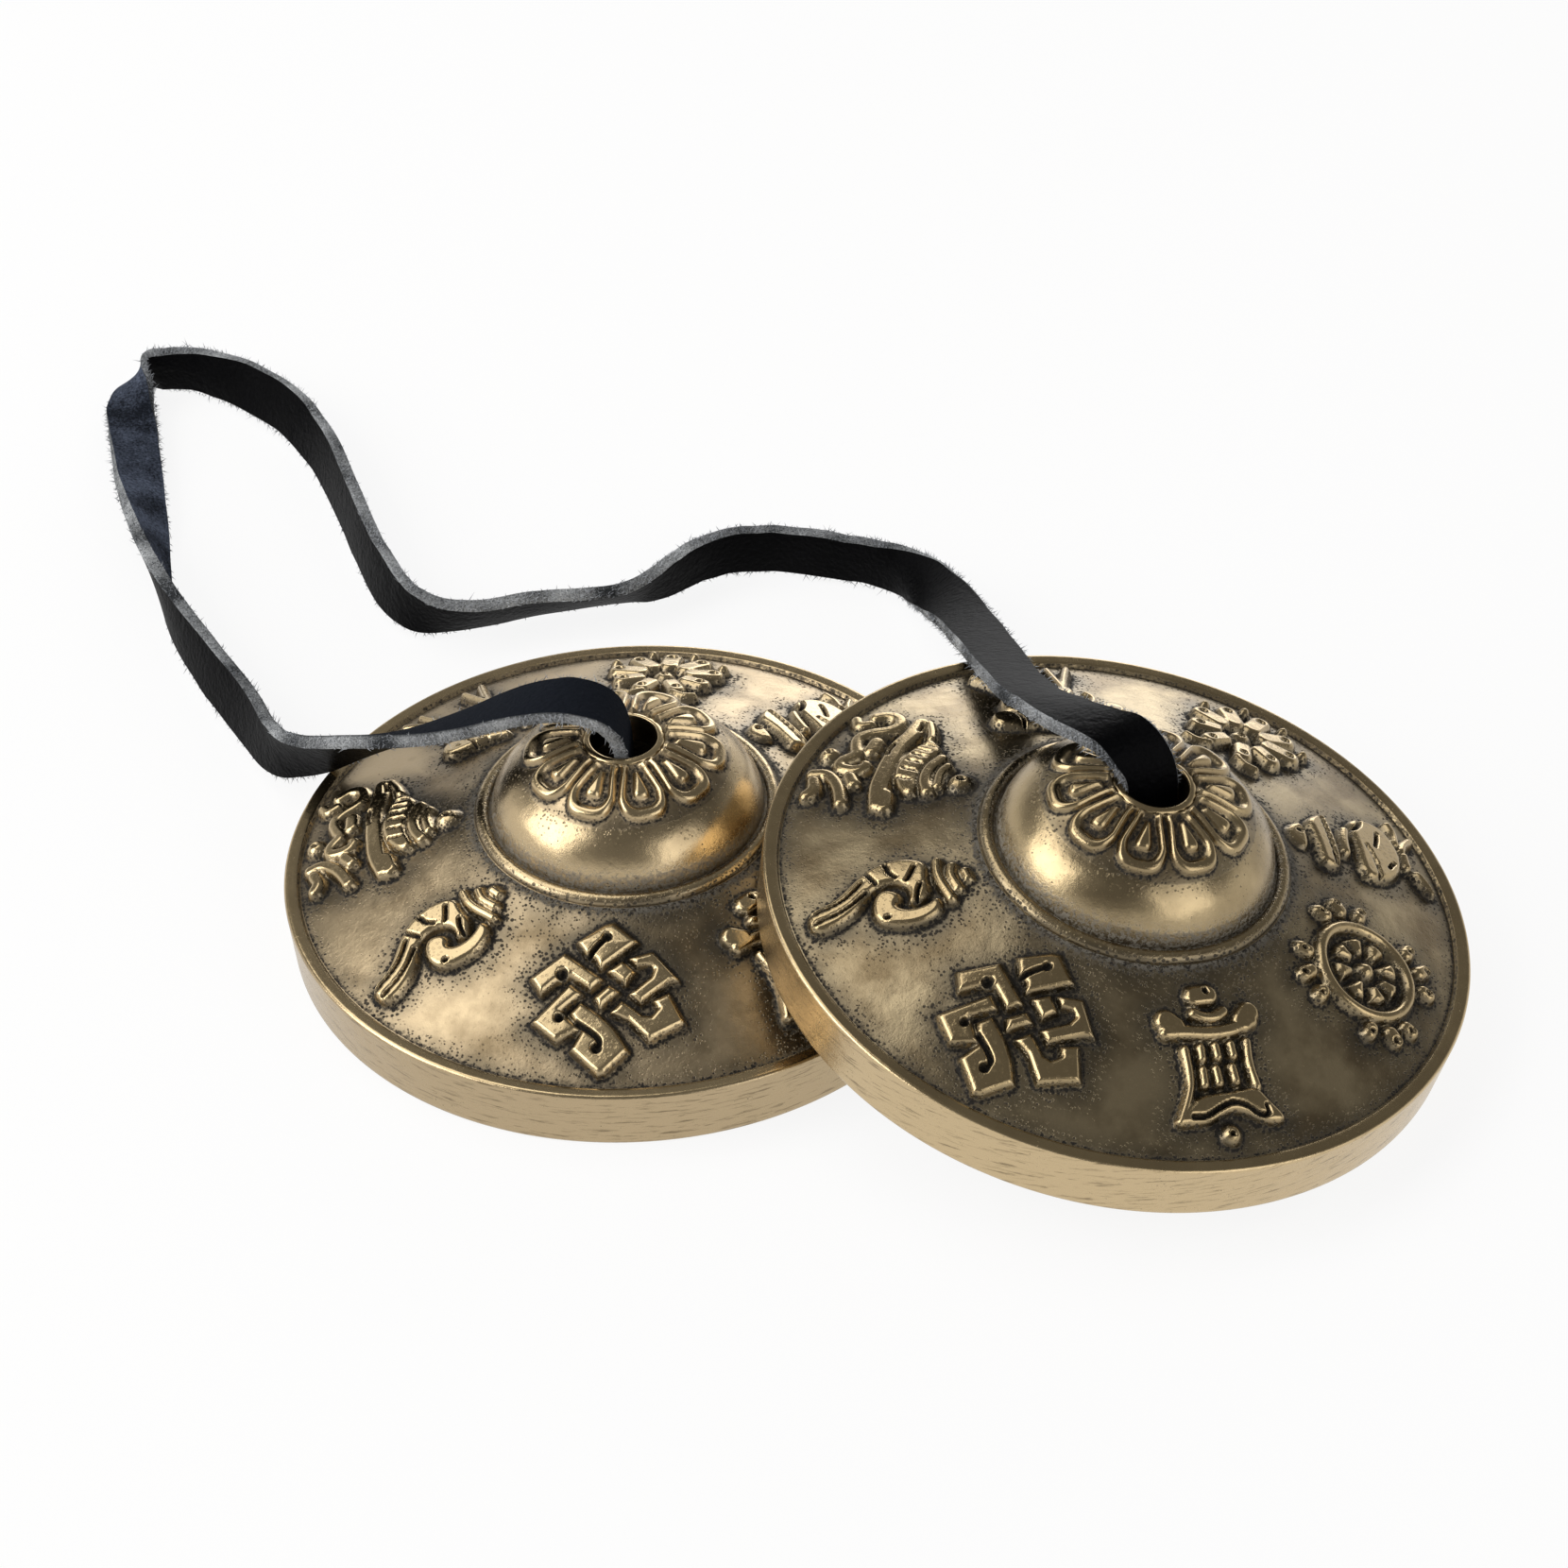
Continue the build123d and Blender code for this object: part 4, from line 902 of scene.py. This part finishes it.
# the flesh side is rubbed dark over this length from the left knot
RUBBED_LENGTH, RUBBED_FADE = 85, 20
strap = strip("leather_strap", middle, across, STRAP_WIDTH, STRAP_THICKNESS)
section_point = np.arange(len(strap.data.vertices) // len(middle))
flesh = (section_point >= FLESH_START) & (section_point <= FLESH_END)
rubbed = np.outer(np.clip((RUBBED_LENGTH * MM - distance) / (RUBBED_FADE * MM), 0, 1), flesh).ravel()
low, high = (np.array(corner) / MM for corner in cad_box)
keep(strap, np.clip(coordinates(strap), low + 0.01, high - 0.01), rubbed=rubbed)

# %% [markdown]
# A cut edge of leather frays: short pale fibres stand out along it. Hair particles could show them, but not in an
# exported mesh. So each one is a slim three-sided spike, which is all that shows at this size, set out at random
# along both edges of the strap.

# %% Frayed edges
FIBRE_TRIES, FIBRE_RADIUS = 7500, 0.06
rng = np.random.RandomState(11)
verts, faces = [], []
for index in range(FIBRE_TRIES):
    k = rng.randint(4, len(middle) - 4)
    out = across[k] * rng.choice([-1, 1])
    foot = middle[k] + (out * STRAP_WIDTH * 0.49 + grain_way[k] * STRAP_THICKNESS * rng.uniform(-0.5, 0.45)) * MM
    way = out * rng.uniform(0.2, 1.0) + travel[k] * rng.uniform(-0.9, 0.9) + grain_way[k] * rng.uniform(-0.7, 0.7)
    tip = foot + way * MM * rng.uniform(0.2, 0.85)
    if tip[2] < 0.2 * MM or np.any(tip < cad_box[0]) or np.any(tip > cad_box[1]):
        continue
    for turn in range(3):
        a = math.radians(120 * turn)
        verts.append(tuple(foot + (travel[k] * math.cos(a) + grain_way[k] * math.sin(a)) * FIBRE_RADIUS * MM))
    verts.append(tuple(tip))
    n = len(verts) - 4
    faces += [(n, n + 1, n + 3), (n + 1, n + 2, n + 3), (n + 2, n, n + 3), (n + 2, n + 1, n)]
fibres = closed("strap_fibres", verts, faces)
print("fibres", len(faces) // 4)

# %% [markdown]
# Inside each dome the strap ends in an overhand knot, too thick for the hole, with its cut end hanging out below.
# A knot line that crosses itself three times, swept with the strap's section crushed narrower, gives the turns
# that are seen from underneath. The leather pressed into the middle is a plain tapered lump, which also closes
# the view down through the hole.

# %% Tied knots
KNOT_REACH, KNOT_RISE, KNOT_HEIGHT, TAIL_LENGTH = 1.24, 1.75, 7.0, 5.2
CORE_BOTTOM, CORE_TOP, TURN_POINTS, TAIL_POINTS = 2.4, 4.5, 120, 30


def tied(name, place, body):
    """The pressed core, the knot's turns and the cut end below them, on one cymbal's axis."""
    centre = knot_top - KNOT_HEIGHT / 2
    turns = np.linspace(0.06, 2 * math.pi - 0.06, TURN_POINTS)
    loop = np.column_stack([KNOT_REACH * (np.sin(turns) + 2 * np.sin(2 * turns)),
                            KNOT_REACH * (np.cos(turns) - 2 * np.cos(2 * turns)),
                            centre - KNOT_RISE * np.sin(3 * turns)])
    fall = np.linspace(0, 1, TAIL_POINTS)
    tail = np.column_stack([0.6 + 0.8 * fall ** 2, -0.4 - 2.2 * fall ** 2,
                            centre - 1.0 - (KNOT_HEIGHT / 2 + TAIL_LENGTH - 1.6) * fall])
    deselect()
    bpy.ops.mesh.primitive_cone_add(vertices=40, radius1=CORE_BOTTOM * MM, radius2=CORE_TOP * MM,
                                    depth=(KNOT_HEIGHT - 1.2) * MM)
    core = bpy.context.object
    core.name = name + "_core"
    bpy.ops.object.mode_set(mode="EDIT")
    bpy.ops.mesh.select_all(action="SELECT")
    bpy.ops.transform.translate(value=(0, 0, (centre + 0.5) * MM))
    bpy.ops.mesh.select_all(action="DESELECT")
    bpy.ops.mesh.edges_select_sharp(sharpness=math.radians(50))
    bpy.ops.mesh.bevel(offset=0.6 * MM, segments=4)
    bpy.ops.object.mode_set(mode="OBJECT")
    bpy.ops.object.shade_smooth_by_angle(angle=math.radians(40))
    pieces = [core, strip(name + "_turns", loop * MM, np.tile([0.0, 0.0, 1.0], (TURN_POINTS, 1)), 3.1, 1.4, 0.05),
              strip(name + "_cut_end", tail * MM, np.tile([1.0, 0.3, 0.0], (TAIL_POINTS, 1)), 4.8, 1.6, 0.1)]
    for piece in pieces:
        piece.data.transform(place)
        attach(piece, body)
        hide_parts(name)
    return pieces


knots = tied("left_knot", left_place, "strap") + tied("right_knot", right_place, "right_knot")
print("knots", [piece.name for piece in knots])

# %% [markdown]
# The leather is cowhide, dyed black through and finished on one side. The grain side is smooth and almost without
# colour, with a faint sheen and fine creases. The flesh side is suede: rough, blue-grey and mottled. The cut
# edges and their fibres take less dye, so they look pale grey. One function serves all of them, with the colours,
# the size of the pattern and the roughness of each.

# %% Leather materials
def leather(name, colour, pale, grain_mm, rough, shine, depth_mm):
    """Dyed cowhide; grain_mm is the size of its surface pattern."""
    material, tree = new_material(name)
    place = add(tree, "TexCoord", pick="Object")
    grain = add(tree, "TexVoronoi", {"Vector": place, "Scale": 1 / (grain_mm * MM)}, feature="SMOOTH_F1")
    fibre = add(tree, "TexNoise", {"Vector": place, "Scale": 1 / (grain_mm * 0.8 * MM), "Detail": 5.0,
                                   "Roughness": 0.7})
    patch = add(tree, "TexNoise", {"Vector": place, "Scale": 1 / (6 * MM), "Detail": 3.0})
    blend = add(tree, "Math", {0: fibre, 1: patch}, operation="MULTIPLY")
    tone = add(tree, "MapRange", {"Value": blend, "From Min": 0.16, "From Max": 0.42})
    rubbed = add(tree, "Attribute", pick="Fac", attribute_name="rubbed")
    clean = add(tree, "Math", {0: 1.0, 1: rubbed}, operation="SUBTRACT")
    tone = add(tree, "Math", {0: tone, 1: clean}, operation="MULTIPLY")
    shade = add(tree, "Mix", {"Factor": tone, 6: linear(colour), 7: linear(pale)}, 2, data_type="RGBA")
    wrinkle = add(tree, "TexNoise", {"Vector": place, "Scale": 1 / (1.6 * MM), "Detail": 3.0, "Distortion": 0.8})
    level = add(tree, "Math", {0: grain, 1: fibre}, operation="ADD")
    level = add(tree, "Math", {0: wrinkle, 1: 2.5, 2: level}, operation="MULTIPLY_ADD")
    bump = add(tree, "Bump", {"Height": level, "Strength": 0.7, "Distance": depth_mm * MM})
    shader = add(tree, "BsdfPrincipled", {"Base Color": shade, "Roughness": rough, "Specular IOR Level": shine,
                                          "Normal": bump})
    add(tree, "OutputMaterial", {"Surface": shader})
    return material


hide = [leather("black_grain_leather", "#030304", "#09090a", 0.45, 0.45, 0.03, 0.1),
        leather("dyed_suede_flesh_side", "#181b21", "#666e80", 0.35, 0.95, 0.03, 0.16),
        leather("raw_cut_leather_edge", "#303234", "#bcbebf", 0.24, 0.95, 0.05, 0.14)]
for piece in [strap] + knots:
    for material in hide:
        piece.data.materials.append(material)
fibres.data.materials.append(leather("frayed_leather_fibre", "#7d8085", "#c4c6c8", 0.5, 0.9, 0.1, 0.02))
for piece in (strap, fibres):
    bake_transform(piece)
    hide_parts("strap")
print("leather on")

# %% [markdown]
# The picture is a plain product shot on white. A brighter lamp could bleach a grey floor, but it would bleach the
# metal too. So the floor shows itself white and keeps the shadow. Bright white stands all round at table level,
# which the far sides of the fields mirror, and the space overhead is dimmer, which gives the near sides their
# deep brown. Four soft boxes add the highlights.

# %% Floor, world and lights
FLOOR_SIZE, WHITE_SHARE = 6, 0.88
WHITE_BELOW, DIM_ABOVE, DIM = 0.16, 0.42, 0.21
deselect()
bpy.ops.mesh.primitive_plane_add(size=FLOOR_SIZE)
floor = bpy.context.object
floor.name = "floor"
material, tree = new_material("white_table")
seen = add(tree, "LightPath").node
shown = seen.outputs["Is Camera Ray"]
for ray in ("Is Glossy Ray", "Is Transmission Ray"):
    shown = add(tree, "Math", {0: shown, 1: seen.outputs[ray]}, operation="MAXIMUM")
shown = add(tree, "Math", {0: shown, 1: WHITE_SHARE}, operation="MULTIPLY")
base = add(tree, "BsdfDiffuse", {"Color": linear("#f7f6f4")})
white = add(tree, "Emission", {"Color": linear("#ffffff"), "Strength": 1.0})
add(tree, "OutputMaterial", {"Surface": add(tree, "MixShader", {0: shown, 1: base, 2: white})})
floor.data.materials.append(material)

world = bpy.data.worlds.new("studio")
scene.world = world
world.use_nodes = True
world.node_tree.nodes.clear()
sky = world.node_tree
up = add(sky, "SeparateXYZ", {0: add(sky, "TexCoord")}, "Z")
level = add(sky, "ValToRGB", {0: up})
ramp = level.node.color_ramp
ramp.elements[0].position, ramp.elements[0].color = WHITE_BELOW, (1, 1, 1, 1)
ramp.elements[1].position, ramp.elements[1].color = DIM_ABOVE, (DIM, DIM, DIM, 1)
add(sky, "OutputWorld", {"Surface": add(sky, "Background", {"Color": level, "Strength": 1.0})})


def soft_box(name, place, aim, size, watts):
    """A square lamp at a place, turned to face the aim, in metres."""
    lamp = bpy.data.lights.new(name, "AREA")
    lamp.size = size
    lamp.energy = watts
    holder = bpy.data.objects.new(name, lamp)
    holder.location = place
    holder.rotation_euler = (Vector(aim) - Vector(place)).to_track_quat("-Z", "Y").to_euler()
    scene.collection.objects.link(holder)


soft_box("key", (-0.57, -0.33, 0.46), (-0.01, 0, 0.01), 0.55, 4.2)
soft_box("fill", (0.62, -0.3, 0.36), (0, 0, 0.01), 0.5, 1.3)
soft_box("overhead_left", (-0.38, 0.12, 0.69), (-0.02, 0, 0.01), 0.5, 1.6)
soft_box("back_low", (-0.12, 0.9, 0.17), (0, 0, 0.01), 0.5, 2.2)
